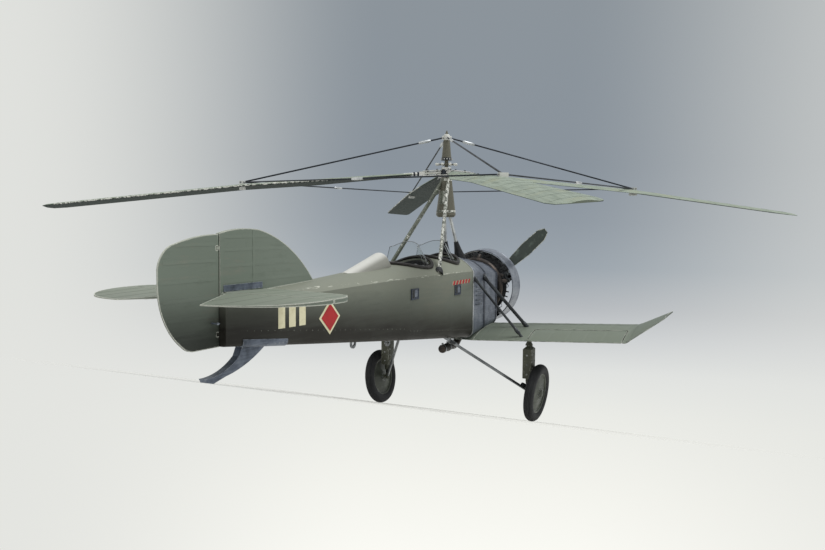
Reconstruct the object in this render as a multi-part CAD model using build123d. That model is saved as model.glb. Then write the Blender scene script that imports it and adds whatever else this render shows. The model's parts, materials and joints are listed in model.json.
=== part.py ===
from build123d import *
import os
from math import cos, radians, sin, sqrt

os.makedirs("parts", exist_ok=True)

# Two-seat winged autogyro. It is drawn level, as rigged: X forward from the rotor axis, Y to the left,
# Z up. At the end it is tipped back onto its tail skid, as it parks. Millimetres throughout.

# Driving dimensions
PARKING_ANGLE = 14.5
PIN_FIT = 0.06
HINGE_GAP = 8
OVERRUN = 120
FAR = 9000

# Fuselage: each row is one frame of the hull
FIREWALL_X = 20
BULKHEAD_X = -2150
RUDDER_HINGE_X = -5460
RUDDER_NOSE = 22
STERN_X = RUDDER_HINGE_X + RUDDER_NOSE + HINGE_GAP
BELLY_Z = 1321
BELLY_RISE = 0.1034
WALL = 25
DECK_LIP = 30
FIREWALL_THICK = 12
BULKHEAD_THICK = 12
# columns: x, half_width, longeron_z, top_z, corner
FRAMES = (
    (FIREWALL_X, 470, 2365, 2610, 110),
    (-850, 475, 2375, 2600, 110),
    (-2100, 440, 2385, 2540, 100),
    (-3750, 290, 2340, 2445, 70),
    (STERN_X, 90, 2280, 2370, 32),
)
TAIL_CAVITY_X = -4700

# Cockpits: a round front and a pointed back, in plan
OPENING_RADIUS = 330
# columns: front_x, middle_x, middle_half, tip_x, seat_x
COCKPITS = (
    (-40, -560, 270, -790, -560),
    (-990, -1620, 270, -1960, -1690),
)
COAMING_WIDTH = 48
COAMING_HEIGHT = 44
SCREEN_THICK = 6
SCREEN_WRAP = 100
SCREEN_TOP_RADIUS = 190
SCREEN_LEAN = 140
SCREEN_BASE_Z = 2445
SCREEN_TOP_Z = 2848
SCREEN_ARCH_HALF = 350
FLOOR_LIFT = 120
FLOOR_THICK = 20
SEAT_WIDTH = 440
SEAT_LENGTH = 400
SEAT_HEIGHT = 240
SEAT_BACK = 460
SEAT_WALL = 30
SEAT_SIDE = 18
SEAT_ARM = 110
CUSHION_THICK = 70
CUSHION_GAP = 0.3
PANEL_THICK = 14
PANEL_SETBACK = 70
PANEL_BOTTOM_Z = 2290
COLUMN_AHEAD = 470
COLUMN_RADIUS = 14
COLUMN_HEIGHT = 520
GRIP_RADIUS = 20
GRIP_LENGTH = 110

# Headrest fairing behind the rear cockpit
# columns: x, half_width, top_z
HEADREST_ARCHES = (
    (-2050, 95, 2600),
    (-2180, 130, 2714),
    (-3060, 40, 2490),
)
HEADREST_ROOT = 250

# Step flaps in the sides, and tie-down lugs on the keel line
STEP_PLACES = ((-1980, 2160), (-600, 2120))
STEP_WIDTH = 200
STEP_HEIGHT = 130
STEP_THICK = 7
LUG_PLACES = (-2850, -1920)
LUG_WIDTH = 130
LUG_DROP = 112
LUG_THICK = 20
LUG_BORE = 32

# Engine bay, engine and ring cowl, round the thrust line
THRUST_Z = 2021
BAY_FRONT_X = 1130
BAY_HALF = 455
BAY_BOTTOM_Z = 1395
BAY_SIDE_Z = 2280
BAY_TOP_Z = 2470
BAY_CORNER = 150
BAY_WALL = 20
CASE_RADIUS = 240
CASE_FRONT_X = 1560
CASE_NOSE_X = 1700
CASE_NOSE_RADIUS = 110
SHAFT_RADIUS = 32
CYLINDER_COUNT = 5
CYLINDER_X = 1430
BARREL_RADIUS = 66
FIN_RADIUS = 86
FIN_COUNT = 6
FIN_START = 262
FIN_PITCH = 38
HEAD_RADIUS = 96
HEAD_TOP = 566
RING_FRONT_X = 1797
RING_REAR_X = 1467
RING_RADIUS = 642
RING_THICK = 42
RING_NOSE = 30
BRACKET_WIDTH = 46
BRACKET_LENGTH = 40

# Exhaust under the nose
EXHAUST_RADIUS = 62
EXHAUST_TOP = (780, 0, 1345)
EXHAUST_KNEE = (450, 0, 1128)
EXHAUST_END = (-95, 0, 1112)

# Propeller: each row is one station of a blade
PROP_X = 1880
PROP_ANGLE = 42.6
PROP_HUB_RADIUS = 95
PROP_HUB_LENGTH = 130
# columns: radius, chord, thick, pitch
PROP_STATIONS = (
    (60, 110, 90, 62),
    (420, 220, 52, 42),
    (950, 295, 34, 26),
    (1330, 245, 20, 20),
    (1450, 110, 10, 18),
)

# Wing
WING_TRAIL_X = 94
WING_LEAD_X = 1466
WING_ROOT_Y = 450
WING_BREAK_Y = 2844
WING_ROOT_TRAIL_Z = 1262
WING_ROOT_LEAD_Z = 1322
WING_BREAK_TRAIL_Z = 1392
WING_BREAK_LEAD_Z = 1447
WING_DEPTH = 140
WING_NOSE = 70
WING_CROWN = 0.58
WING_EDGE = 10
TIP_Y = 3320
TIP_TRAIL_X = 420
TIP_LEAD_X = 1250
TIP_TRAIL_Z = 1740
TIP_LEAD_Z = 1765
TIP_DEPTH = 36
TIP_NOSE = 18
AILERON_INNER_Y = 1350
AILERON_OUTER_Y = 2780
AILERON_HINGE_X = 506
AILERON_NOSE = 62
AILERON_AXIS_LIFT = 56
AILERON_END_GAP = 14
HINGE_PIN_RADIUS = 9
HINGE_PIN_LENGTH = 45
# wing struts, left side; columns: top, bottom, radius
STRUTS = (
    ((80, 430, 2296), (220, 1200, 1380), 20),
    ((480, 420, 2306), (700, 1180, 1420), 27),
)

# Landing gear, left side
WHEEL_X = 444
WHEEL_CONTACT_Y = 1354
WHEEL_RADIUS = 456
WHEEL_CAMBER = 6.35
TYRE_WIDTH = 150
RIM_RADIUS = 312
RIM_WIDTH = 96
DISC_EDGE = 40
HUB_RADIUS = 62
HUB_WIDTH = 150
AXLE_RADIUS = 25
AXLE_OVERHANG = 92
LEG_Y = 1270
LEG_RADIUS = 30
LEG_BELOW_AXLE = 45
BOX_BOTTOM_Z = 680
BOX_TOP_Z = 1200
BOX_LENGTH = 200
BOX_WIDTH = 140
BOX_CHAMFER = 55
DRAG_TOP = (-780, 400, 1390)
DRAG_RADIUS = 22

# Tail
RUDDER_BOTTOM_Z = 1885
RUDDER_TOP_Z = 2996
RUDDER_TRAIL_X = -6252
RUDDER_EDGE = 5
FIN_THICK = 44
HINGE_HEIGHTS = (2010, 2860)
LUG_PLATE = 24
LUG_END = 17
ELEVATOR_HINGE_X = -5390
ELEVATOR_Z = 2395
ELEVATOR_NOSE = 24
ELEVATOR_TRAIL_X = -6250
ELEVATOR_EDGE = 5
ELEVATOR_INNER_Y = 80
ELEVATOR_CUT_Y = 490
TAIL_HALF_SPAN = 1300
TORQUE_TUBE_RADIUS = 17
STABILISER_LEAD_X = -4600
STABILISER_TIP_X = -5080
STABILISER_LEAD_EDGE = 9
ROOT_PLATE_REAR_X = -5380
ROOT_PLATE_FRONT_X = -4760
ROOT_PLATE_HEIGHT = 66
ROOT_PLATE_THICK = 6
# outlines: start, middle and end of each arc; x and z for the upright pieces, x and y for the level ones
FIN_FOOT = (-3740, 2200)
FIN_ARCS = (
    ((STERN_X, 3005), (-5110, 3048), (-4800, 3036)),
    ((-4800, 3036), (-4250, 2825), (-3740, 2380)),
)
RUDDER_UPPER_ARCS = (
    ((RUDDER_HINGE_X, RUDDER_TOP_Z), (-5760, 2972), (-6020, 2915)),
    ((-6020, 2915), (-6190, 2822), (RUDDER_TRAIL_X, 2690)),
)
RUDDER_LOWER_ARCS = (
    ((RUDDER_TRAIL_X, 2520), (-6165, 2190), (-5950, 1945)),
    ((-5950, 1945), (-5890, 1905), (-5800, RUDDER_BOTTOM_Z)),
)
STABILISER_ARC = ((-4830, 960), (-4960, 1190), (-5200, TAIL_HALF_SPAN))
ELEVATOR_ARCS = (
    ((ELEVATOR_TRAIL_X, ELEVATOR_CUT_Y), (-6183, 800), (-6005, 1062)),
    ((-6005, 1062), (-5735, 1238), (ELEVATOR_HINGE_X, TAIL_HALF_SPAN)),
)

# Tail skid
SKID_WIDTH = 84
SKID_TOE_X = -5650
SKID_SOLE = 90
SKID_SHOE_FRONT_X = -4548
SKID_SHOE_REAR_X = -5202
SKID_SHOE_THICK = 8
SKID_SHOE_HEIGHT = 74
SKID_ROOT_FRONT_X = -4742
SKID_ROOT_REAR_X = -5120
# leaf outline, x and z: the lower arc, the straight run to the sole, and the upper arc
SKID_LOWER_MIDDLE = (-5040, 1664)
SKID_LOWER_END = (-5380, 1580)
SKID_TOE_LIFT = (-26, 40)
SKID_UPPER_MIDDLE = (-5410, 1632)
SKID_UPPER_END = (-5170, 1752)

# Rotor head and pylon
HUB_Z = 3921
HUB_ABOVE = 71
HUB_BELOW = 66
HUB_RADIUS_OUT = 78
HUB_TOP_Z = HUB_Z + HUB_ABOVE
HUB_BOTTOM_Z = HUB_Z - HUB_BELOW
SPINDLE_RADIUS = 36
SPINDLE_END = 39
SPINDLE_TOP_Z = HUB_Z + SPINDLE_END
HUB_LIFT = 1
COLLAR_HEIGHT = 20
PYLON_TOP_Z = HUB_BOTTOM_Z - COLLAR_HEIGHT
PYLON_HEIGHT = 625
PYLON_BOTTOM_RADIUS = 160
PYLON_TOP_RADIUS = 84
PYLON_CHAMFER = 34
REAR_LEG_TOP = (-20, 45, 3790)
REAR_LEG_FOOT = (-1175, 425, 2400)
REAR_LEG_CHORD = 74
REAR_LEG_THICK = 38
FRONT_LEG_TOP = (20, 40, 3300)
FRONT_LEG_FOOT = (290, 120, 2580)
FRONT_LEG_RADIUS = 27
POST_SHAFT_RADIUS = 30
POST_SHAFT_LENGTH = 113
POST_BOTTOM_Z = HUB_TOP_Z + POST_SHAFT_LENGTH
POST_HEIGHT = 395
POST_TOP_Z = POST_BOTTOM_Z + POST_HEIGHT
POST_BOTTOM_RADIUS = 80
POST_TOP_RADIUS = 42
FINIAL_HEIGHT = 68
FINIAL_RADIUS = 30
FINIAL_TAPER = 4
STAR_LIFT = 48
STAR_Z = HUB_TOP_Z + STAR_LIFT
STAR_RADIUS = 62
STAR_THICK = 26
STAR_PIN_COUNT = 8
STAR_PIN_REACH = 180
STAR_PIN_RADIUS = 9

# Rotor blades: each row is one station along the spar
ROTOR_RADIUS = 6000
BLADE_COUNT = 4
BLADE_AZIMUTH = 36.6
BLADE_PITCH = 4.6
BLADE_START = 560
CLAMP_RADIUS = 3155
CLAMP_Z = 3661
TIP_DROOP_Z = 3325
ROOT_SPAR_RADIUS = 24
ROOT_BLOCK_AT = 400
ROOT_BLOCK = 84
ROOT_BLOCK_HEIGHT = 58
# columns: radius, lead, trail, depth, nose
BLADE_STATIONS = (
    (BLADE_START, 45, -105, 46, 34),
    (1150, 70, -215, 52, 36),
    (2000, 95, -395, 56, 34),
    (CLAMP_RADIUS, 95, -395, 54, 32),
    (5760, 95, -395, 44, 26),
    (5930, 78, -360, 36, 20),
    (ROTOR_RADIUS, 10, -250, 22, 10),
)
BLADE_CROWN = 0.66
BLADE_EDGE = 5
CLAMP_LENGTH = 90
CLAMP_WIDTH = 110
CLAMP_HEIGHT = 130
CABLE_LIFT = 46
STAY_RADIUS = 12
CABLE_RADIUS = 10


# Small drawing helpers
def line(a, b):
    return Edge.make_line(a, b)


def arc(a, middle, b):
    return Edge.make_three_point_arc(a, middle, b)


def solid_outline(edges, direction, length):
    return extrude(Face(Wire(edges)), amount=length, dir=direction)


def polygon_xz(points, half_width):
    corners = [(x, -half_width, z) for x, z in points]
    return extrude(Face(Wire.make_polygon(corners, close=True)), amount=2 * half_width, dir=(0, 1, 0))


def rod(start, end, radius, before=0, after=0):
    start, end = Vector(*start), Vector(*end)
    along = (end - start).normalized()
    length = (end - start).length + before + after
    base = Plane(start - along * before, z_dir=along)
    return base * Cylinder(radius, length, align=(Align.CENTER, Align.CENTER, Align.MIN))


def block(x, y, z):
    low, high = zip(x, y, z)
    size = [b - a for a, b in zip(low, high)]
    return Pos(*[(a + b) / 2 for a, b in zip(low, high)]) * Box(*size)


def airfoil(trail, lead, up, depth, nose, crown, edge):
    trail, lead, up = Vector(*trail), Vector(*lead), Vector(*up)
    along = (lead - trail).normalized()
    rise = (up - along * up.dot(along)).normalized()
    chord = (lead - trail).length

    def at(a, h):
        return trail + along * a + rise * h

    shoulder = chord - nose / 2
    return Wire([
        line(at(0, 0), at(shoulder, 0)),
        arc(at(shoulder, 0), at(chord, nose / 2), at(shoulder, nose)),
        arc(at(shoulder, nose), at(crown * chord, depth), at(0, edge)),
        line(at(0, edge), at(0, 0)),
    ])


def skin(wires):
    return loft([Face(wire) for wire in wires], ruled=True)


def right_of(left_part):
    return mirror(left_part, Plane.XZ)


def pieces(part):
    return sorted(part.solids(), key=lambda solid: solid.center().Y)


def biggest(part):
    return max(part.solids(), key=lambda solid: solid.volume)


# Hull sections
def frame_at(x):
    rows = list(zip(FRAMES, FRAMES[1:]))
    (a, b) = next((pair for pair in rows if x >= pair[1][0]), rows[-1])
    t = (x - a[0]) / (b[0] - a[0])
    return [p + (q - p) * t for p, q in zip(a[1:], b[1:])]


def belly_at(x):
    return BELLY_Z + BELLY_RISE * (FIREWALL_X - x)


def hull_wire(x, half, bottom, side, top, corner):
    bend = corner * (1 - sqrt(0.5))
    left = [(half - corner, bottom), (half - bend, bottom + bend), (half, bottom + corner), (half, side)]
    a, b, c, d = [(x, y, z) for y, z in left]
    e, f, g, h = [(x, -y, z) for y, z in reversed(left)]
    return Wire([line(h, a), arc(a, b, c), line(c, d), arc(d, (x, 0, top), e), line(e, f), arc(f, g, h)])


def hull_at(x, inset=0):
    half, side, top, corner = frame_at(x)
    return hull_wire(x, half - inset, belly_at(x) + inset, side, top - inset, corner - min(inset, corner / 2))


def hull(front_x, rear_x, inset=0):
    middle = [row[0] for row in FRAMES if rear_x < row[0] < front_x]
    return skin([hull_at(x, inset) for x in [front_x] + middle + [rear_x]])


def line_above(offset, column, front_x, rear_x):
    middle = [row[0] for row in FRAMES if rear_x < row[0] < front_x]
    xs = [front_x] + middle + [rear_x]
    points = [(x, column(x) + offset) for x in xs]
    return polygon_xz(points + [(rear_x, FAR), (front_x, FAR)], FAR)


def longeron_at(x):
    return frame_at(x)[1]


def chine_at(x):
    return belly_at(x) + frame_at(x)[3]


hull_outer = hull(FIREWALL_X, STERN_X)
cabin_outer = hull(FIREWALL_X, BULKHEAD_X)
cabin_inner = hull(FIREWALL_X, BULKHEAD_X, WALL)
cabin_shell = cabin_outer - cabin_inner

# Front panels: deck, belly and two sides
above_longeron = line_above(-DECK_LIP, longeron_at, FIREWALL_X + 1, BULKHEAD_X - 1)
above_chine = line_above(0, chine_at, FIREWALL_X + 1, BULKHEAD_X - 1)


def opening(row, grow=0):
    front_x, middle_x, middle_half, tip_x = row[:4]
    radius = OPENING_RADIUS
    centre_x = front_x - radius
    edges = [
        arc((centre_x, -radius, 0), (front_x, 0, 0), (centre_x, radius, 0)),
        arc((centre_x, radius, 0), (middle_x, middle_half, 0), (tip_x, 0, 0)),
        arc((tip_x, 0, 0), (middle_x, -middle_half, 0), (centre_x, -radius, 0)),
    ]
    shape = Sketch() + Face(Wire(edges))
    shape = offset(shape, grow) if grow else shape
    return Pos(0, 0, PANEL_BOTTOM_Z) * extrude(shape, amount=FAR - PANEL_BOTTOM_Z, dir=(0, 0, 1))


openings = [opening(row) for row in COCKPITS]
deck = cabin_shell & above_longeron
for hole in openings:
    deck -= hole
belly = cabin_shell - above_chine
side_right, side_left = pieces((cabin_shell & above_chine) - above_longeron)

firewall_plate = loft([
    Face(hull_at(FIREWALL_X)),
    Face(hull_wire(FIREWALL_X + FIREWALL_THICK, *[
        frame_at(FIREWALL_X)[0], belly_at(FIREWALL_X), *frame_at(FIREWALL_X)[1:]
    ])),
], ruled=True)

rear_fuselage = hull(BULKHEAD_X, STERN_X) - hull(BULKHEAD_X, TAIL_CAVITY_X, WALL)
bulkhead = hull(BULKHEAD_X + BULKHEAD_THICK, BULKHEAD_X, WALL)

# Cockpit furniture
floor_top = line_above(WALL + FLOOR_LIFT + FLOOR_THICK, belly_at, FIREWALL_X + 1, BULKHEAD_X - 1)
floor_bottom = line_above(WALL + FLOOR_LIFT, belly_at, FIREWALL_X + 1, BULKHEAD_X - 1)
cockpit_floor = (hull(FIREWALL_X, BULKHEAD_X + BULKHEAD_THICK, WALL) & floor_bottom) - floor_top


def floor_z(x):
    return belly_at(x) + WALL + FLOOR_LIFT + FLOOR_THICK


def seat_shape(row):
    seat_x = row[4]
    rear_x = seat_x - SEAT_LENGTH / 2
    front_x = seat_x + SEAT_LENGTH / 2
    pan_z = floor_z(seat_x) + SEAT_HEIGHT
    back_top = pan_z + SEAT_BACK
    sheet = polygon_xz([
        (front_x, pan_z - SEAT_WALL),
        (front_x, pan_z),
        (rear_x + SEAT_WALL, pan_z),
        (rear_x, back_top),
        (rear_x - SEAT_WALL, back_top),
        (rear_x, pan_z - SEAT_WALL),
    ], SEAT_WIDTH / 2)
    cheek = polygon_xz([
        (rear_x, floor_z(rear_x)),
        (front_x, floor_z(front_x)),
        (front_x, pan_z + SEAT_WALL),
        (rear_x + SEAT_ARM, pan_z + SEAT_ARM),
        (rear_x, back_top),
    ], SEAT_SIDE / 2)
    reach = (SEAT_WIDTH - SEAT_SIDE) / 2
    return sheet + Pos(0, reach, 0) * cheek + Pos(0, -reach, 0) * cheek


def cushion_shape(row):
    seat_x = row[4]
    pan_z = floor_z(seat_x) + SEAT_HEIGHT + CUSHION_GAP
    rear_x = seat_x - SEAT_LENGTH / 2 + SEAT_WALL
    front_x = seat_x + SEAT_LENGTH / 2
    half = SEAT_WIDTH / 2 - SEAT_WALL
    return block((rear_x, front_x), (-half, half), (pan_z, pan_z + CUSHION_THICK))


def column_shape(row):
    x = row[4] + COLUMN_AHEAD
    base = floor_z(x)
    stick = rod((x, 0, base - FLOOR_THICK / 2), (x, 0, base + COLUMN_HEIGHT), COLUMN_RADIUS)
    grip = rod((x, 0, base + COLUMN_HEIGHT - GRIP_LENGTH), (x, 0, base + COLUMN_HEIGHT), GRIP_RADIUS)
    return (stick + grip) - cockpit_floor


def panel_shape(row):
    x = row[0] - PANEL_SETBACK
    slab = block((x, x + PANEL_THICK), (-FAR, FAR), (PANEL_BOTTOM_Z, FAR))
    return cabin_inner & slab


seats = [seat_shape(row) for row in COCKPITS]
cushions = [cushion_shape(row) for row in COCKPITS]
columns = [column_shape(row) for row in COCKPITS]

# Coamings, windscreens and headrest fairing
coaming_layer = hull(FIREWALL_X, BULKHEAD_X - OVERRUN, -COAMING_HEIGHT) - hull(FIREWALL_X + 1, BULKHEAD_X - OVERRUN - 1)
coamings = [(coaming_layer & opening(row, COAMING_WIDTH)) - opening(row) for row in COCKPITS]


screen_arch = solid_outline([
    arc((-FAR, -SCREEN_ARCH_HALF, SCREEN_BASE_Z), (-FAR, 0, SCREEN_TOP_Z), (-FAR, SCREEN_ARCH_HALF, SCREEN_BASE_Z)),
    line((-FAR, SCREEN_ARCH_HALF, SCREEN_BASE_Z), (-FAR, -SCREEN_ARCH_HALF, SCREEN_BASE_Z)),
], (1, 0, 0), 2 * FAR)


def screen_shape(row):
    front_x = row[0]

    def band(centre_x, radius, z):
        def at(r, turn):
            return (centre_x + r * cos(radians(turn)), r * sin(radians(turn)), z)

        inner = radius - SCREEN_THICK
        return Face(Wire([
            arc(at(radius, -SCREEN_WRAP), at(radius, 0), at(radius, SCREEN_WRAP)),
            line(at(radius, SCREEN_WRAP), at(inner, SCREEN_WRAP)),
            arc(at(inner, SCREEN_WRAP), at(inner, 0), at(inner, -SCREEN_WRAP)),
            line(at(inner, -SCREEN_WRAP), at(radius, -SCREEN_WRAP)),
        ]))

    base_x = front_x - OPENING_RADIUS
    base = band(base_x, OPENING_RADIUS + COAMING_WIDTH / 2, SCREEN_BASE_Z)
    top = band(base_x - SCREEN_LEAN, SCREEN_TOP_RADIUS, SCREEN_TOP_Z)
    return loft([base, top], ruled=True) & screen_arch


screens = []
for row, coaming in zip(COCKPITS, coamings):
    screen = screen_shape(row) - hull_outer - coaming
    screens.append(biggest(screen))


def arch(x, half, top_z):
    root_z = top_z - HEADREST_ROOT
    return Face(Wire([
        arc((x, -half, root_z), (x, 0, top_z), (x, half, root_z)),
        line((x, half, root_z), (x, -half, root_z)),
    ]))


headrest = loft([arch(*row) for row in HEADREST_ARCHES], ruled=True)
headrest = headrest - hull_outer - coamings[1]


def step_flap(place, side):
    x, z = place
    half = frame_at(x)[0]
    y = sorted((side * (half - WALL / 2), side * (half + STEP_THICK)))
    plate = block((x - STEP_WIDTH / 2, x + STEP_WIDTH / 2), y, (z - STEP_HEIGHT / 2, z + STEP_HEIGHT / 2))
    return plate - hull_outer


step_flaps = [step_flap(place, side) for place in STEP_PLACES for side in (1, -1)]


def tiedown(x):
    bottom = belly_at(x)
    centre_z = bottom - LUG_DROP + LUG_WIDTH / 2
    half = LUG_WIDTH / 2
    edges = [
        line((x - half, 0, bottom + half), (x - half, 0, centre_z)),
        arc((x - half, 0, centre_z), (x, 0, centre_z - half), (x + half, 0, centre_z)),
        line((x + half, 0, centre_z), (x + half, 0, bottom + half)),
        line((x + half, 0, bottom + half), (x - half, 0, bottom + half)),
    ]
    plate = Pos(0, -LUG_THICK / 2, 0) * solid_outline(edges, (0, 1, 0), LUG_THICK)
    bore = rod((x, -LUG_THICK, tiedown_bore_z(x)), (x, LUG_THICK, tiedown_bore_z(x)), LUG_BORE)
    return plate - hull_outer - bore


def tiedown_bore_z(x):
    return belly_at(x) - LUG_DROP + LUG_WIDTH / 2


# Nose: engine bay, engine, ring cowl
bay_rear = hull_wire(FIREWALL_X + FIREWALL_THICK, *[
    frame_at(FIREWALL_X)[0], belly_at(FIREWALL_X), *frame_at(FIREWALL_X)[1:]
])


def bay_front(x, inset=0):
    return hull_wire(
        x, BAY_HALF - inset, BAY_BOTTOM_Z + inset, BAY_SIDE_Z - inset, BAY_TOP_Z - inset, BAY_CORNER - inset
    )


def bay_inner_rear():
    half, side, top, corner = frame_at(FIREWALL_X)
    x = FIREWALL_X + FIREWALL_THICK
    return hull_wire(x, half - BAY_WALL, belly_at(FIREWALL_X) + BAY_WALL, side, top - BAY_WALL, corner - BAY_WALL)


bay_outer = skin([bay_rear, bay_front(BAY_FRONT_X)])
bay_inner = skin([bay_inner_rear(), bay_front(BAY_FRONT_X - BAY_WALL, BAY_WALL)])
engine_bay = bay_outer - bay_inner

thrust_axis = Axis((0, 0, THRUST_Z), (1, 0, 0))


def turned_profile(points):
    corners = [(x, 0, THRUST_Z + r) for x, r in points]
    return revolve(Face(Wire.make_polygon(corners, close=True)), thrust_axis)


crankcase = turned_profile([
    (BAY_FRONT_X, 0),
    (BAY_FRONT_X, CASE_RADIUS),
    (CASE_FRONT_X, CASE_RADIUS),
    (CASE_NOSE_X, CASE_NOSE_RADIUS),
    (CASE_NOSE_X, SHAFT_RADIUS),
    (PROP_X + PROP_HUB_LENGTH / 2, SHAFT_RADIUS),
    (PROP_X + PROP_HUB_LENGTH / 2, 0),
])


def cylinder_shape():
    points = [(0, 0), (BARREL_RADIUS, 0)]
    for i in range(FIN_COUNT):
        z = FIN_START + i * FIN_PITCH
        points += [(BARREL_RADIUS, z), (FIN_RADIUS, z + FIN_PITCH / 2)]
    neck = FIN_START + FIN_COUNT * FIN_PITCH
    points += [(BARREL_RADIUS, neck), (HEAD_RADIUS, neck), (HEAD_RADIUS, HEAD_TOP), (0, HEAD_TOP)]
    return revolve(Face(Wire.make_polygon([(x, 0, z) for x, z in points], close=True)), Axis.Z)


one_cylinder = cylinder_shape()
cylinders = []
for i in range(CYLINDER_COUNT):
    turn = Pos(CYLINDER_X, 0, THRUST_Z) * Rot(i * 360 / CYLINDER_COUNT, 0, 0)
    cylinders.append(turn * one_cylinder - crankcase)

ring_inner = RING_RADIUS - RING_THICK
ring_face = Face(Wire([
    line((RING_REAR_X, 0, THRUST_Z + RING_RADIUS - RING_NOSE / 2), (RING_FRONT_X - RING_THICK, 0, THRUST_Z + RING_RADIUS)),
    arc(
        (RING_FRONT_X - RING_THICK, 0, THRUST_Z + RING_RADIUS),
        (RING_FRONT_X, 0, THRUST_Z + RING_RADIUS - RING_THICK / 2),
        (RING_FRONT_X - RING_THICK, 0, THRUST_Z + ring_inner),
    ),
    line((RING_FRONT_X - RING_THICK, 0, THRUST_Z + ring_inner), (RING_REAR_X, 0, THRUST_Z + RING_RADIUS - RING_NOSE)),
    line((RING_REAR_X, 0, THRUST_Z + RING_RADIUS - RING_NOSE), (RING_REAR_X, 0, THRUST_Z + RING_RADIUS - RING_NOSE / 2)),
]))
ring_cowl = revolve(ring_face, thrust_axis)
for i in range(CYLINDER_COUNT):
    reach = (HEAD_TOP, RING_RADIUS - RING_THICK / 2)
    bracket = block((RING_REAR_X, RING_REAR_X + BRACKET_LENGTH), (-BRACKET_WIDTH / 2, BRACKET_WIDTH / 2), reach)
    ring_cowl += Pos(0, 0, THRUST_Z) * Rot(i * 360 / CYLINDER_COUNT, 0, 0) * bracket

# Propeller
def prop_section(radius, chord, thick, pitch):
    lead = Vector(cos(radians(90 - pitch)), sin(radians(90 - pitch)), 0)
    face_side = Vector(lead.Y, -lead.X, 0)
    a = lead * (-chord / 2)
    b = lead * (chord / 2)
    middle = face_side * thick
    up = Vector(0, 0, radius)
    return Wire([line(a + up, b + up), arc(b + up, middle + up, a + up)])


prop_blade = skin([prop_section(*row) for row in PROP_STATIONS])
prop_hub = Rot(0, 90, 0) * Cylinder(PROP_HUB_RADIUS, PROP_HUB_LENGTH)
prop_solid = prop_hub + prop_blade + Rot(180, 0, 0) * prop_blade
prop_place = Pos(PROP_X, 0, THRUST_Z) * Rot(90 - PROP_ANGLE, 0, 0)
shaft_bore = rod((CASE_NOSE_X, 0, THRUST_Z), (PROP_X + OVERRUN, 0, THRUST_Z), SHAFT_RADIUS + PIN_FIT)
propeller = prop_place * prop_solid - shaft_bore

# Wing
UP = (0, 0, 1)


def wing_z(y, root_z, break_z):
    return root_z + (break_z - root_z) * (y - WING_ROOT_Y) / (WING_BREAK_Y - WING_ROOT_Y)


def wing_section(y):
    trail = (WING_TRAIL_X, y, wing_z(abs(y), WING_ROOT_TRAIL_Z, WING_BREAK_TRAIL_Z))
    lead = (WING_LEAD_X, y, wing_z(abs(y), WING_ROOT_LEAD_Z, WING_BREAK_LEAD_Z))
    return airfoil(trail, lead, UP, WING_DEPTH, WING_NOSE, WING_CROWN, WING_EDGE)


tip_section = airfoil(
    (TIP_TRAIL_X, TIP_Y, TIP_TRAIL_Z), (TIP_LEAD_X, TIP_Y, TIP_LEAD_Z), UP,
    TIP_DEPTH, TIP_NOSE, WING_CROWN, WING_EDGE,
)
wing_centre = skin([wing_section(-WING_ROOT_Y), wing_section(WING_ROOT_Y)]) - hull_outer - firewall_plate - bay_outer
wing_plain = skin([wing_section(WING_ROOT_Y), wing_section(WING_BREAK_Y)])
wing_plain += skin([wing_section(WING_BREAK_Y), tip_section])


def hinge_point(y):
    share = (AILERON_HINGE_X - WING_TRAIL_X) / (WING_LEAD_X - WING_TRAIL_X)
    trail_z = wing_z(y, WING_ROOT_TRAIL_Z, WING_BREAK_TRAIL_Z)
    lead_z = wing_z(y, WING_ROOT_LEAD_Z, WING_BREAK_LEAD_Z)
    return (AILERON_HINGE_X, y, trail_z + (lead_z - trail_z) * share + AILERON_AXIS_LIFT)


def aileron_space(nose, margin):
    low, high = AILERON_INNER_Y - margin, AILERON_OUTER_Y + margin
    slab = block((-FAR, AILERON_HINGE_X), (low, high), (0, FAR))
    return slab + rod(hinge_point(low), hinge_point(high), nose)


aileron_left = wing_plain & aileron_space(AILERON_NOSE, 0)
wing_left = wing_plain - aileron_space(AILERON_NOSE + HINGE_GAP, AILERON_END_GAP)
for end_y, inward in ((AILERON_INNER_Y, 1), (AILERON_OUTER_Y, -1)):
    seat = hinge_point(end_y - inward * (AILERON_END_GAP + HINGE_PIN_LENGTH))
    tip = hinge_point(end_y + inward * HINGE_PIN_LENGTH)
    deep = hinge_point(end_y + inward * (HINGE_PIN_LENGTH + HINGE_GAP))
    wing_left += rod(seat, tip, HINGE_PIN_RADIUS)
    aileron_left -= rod(seat, deep, HINGE_PIN_RADIUS + PIN_FIT)
wing_left = wing_left - hull_outer - firewall_plate - bay_outer

wing_struts = []
for top, bottom, radius in STRUTS:
    strut = rod(top, bottom, radius, OVERRUN, OVERRUN) - bay_outer - wing_plain
    wing_struts.append(biggest(strut))

# Exhaust, bent back under the nose
exhaust = rod(EXHAUST_TOP, EXHAUST_KNEE, EXHAUST_RADIUS) + rod(EXHAUST_KNEE, EXHAUST_END, EXHAUST_RADIUS)
exhaust += Pos(*EXHAUST_KNEE) * Sphere(EXHAUST_RADIUS)
exhaust = biggest(exhaust - wing_centre)

# Landing gear, left side
camber = radians(WHEEL_CAMBER)
wheel_axis = Vector(0, cos(camber), -sin(camber))
wheel_centre = Vector(WHEEL_X, WHEEL_CONTACT_Y + WHEEL_RADIUS * sin(camber), WHEEL_RADIUS * cos(camber))
wheel_plane = Plane(wheel_centre, x_dir=(1, 0, 0), z_dir=wheel_axis)
axle_root = wheel_centre + wheel_axis * ((LEG_Y - wheel_centre.Y) / wheel_axis.Y)
axle_end = wheel_centre + wheel_axis * AXLE_OVERHANG

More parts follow.
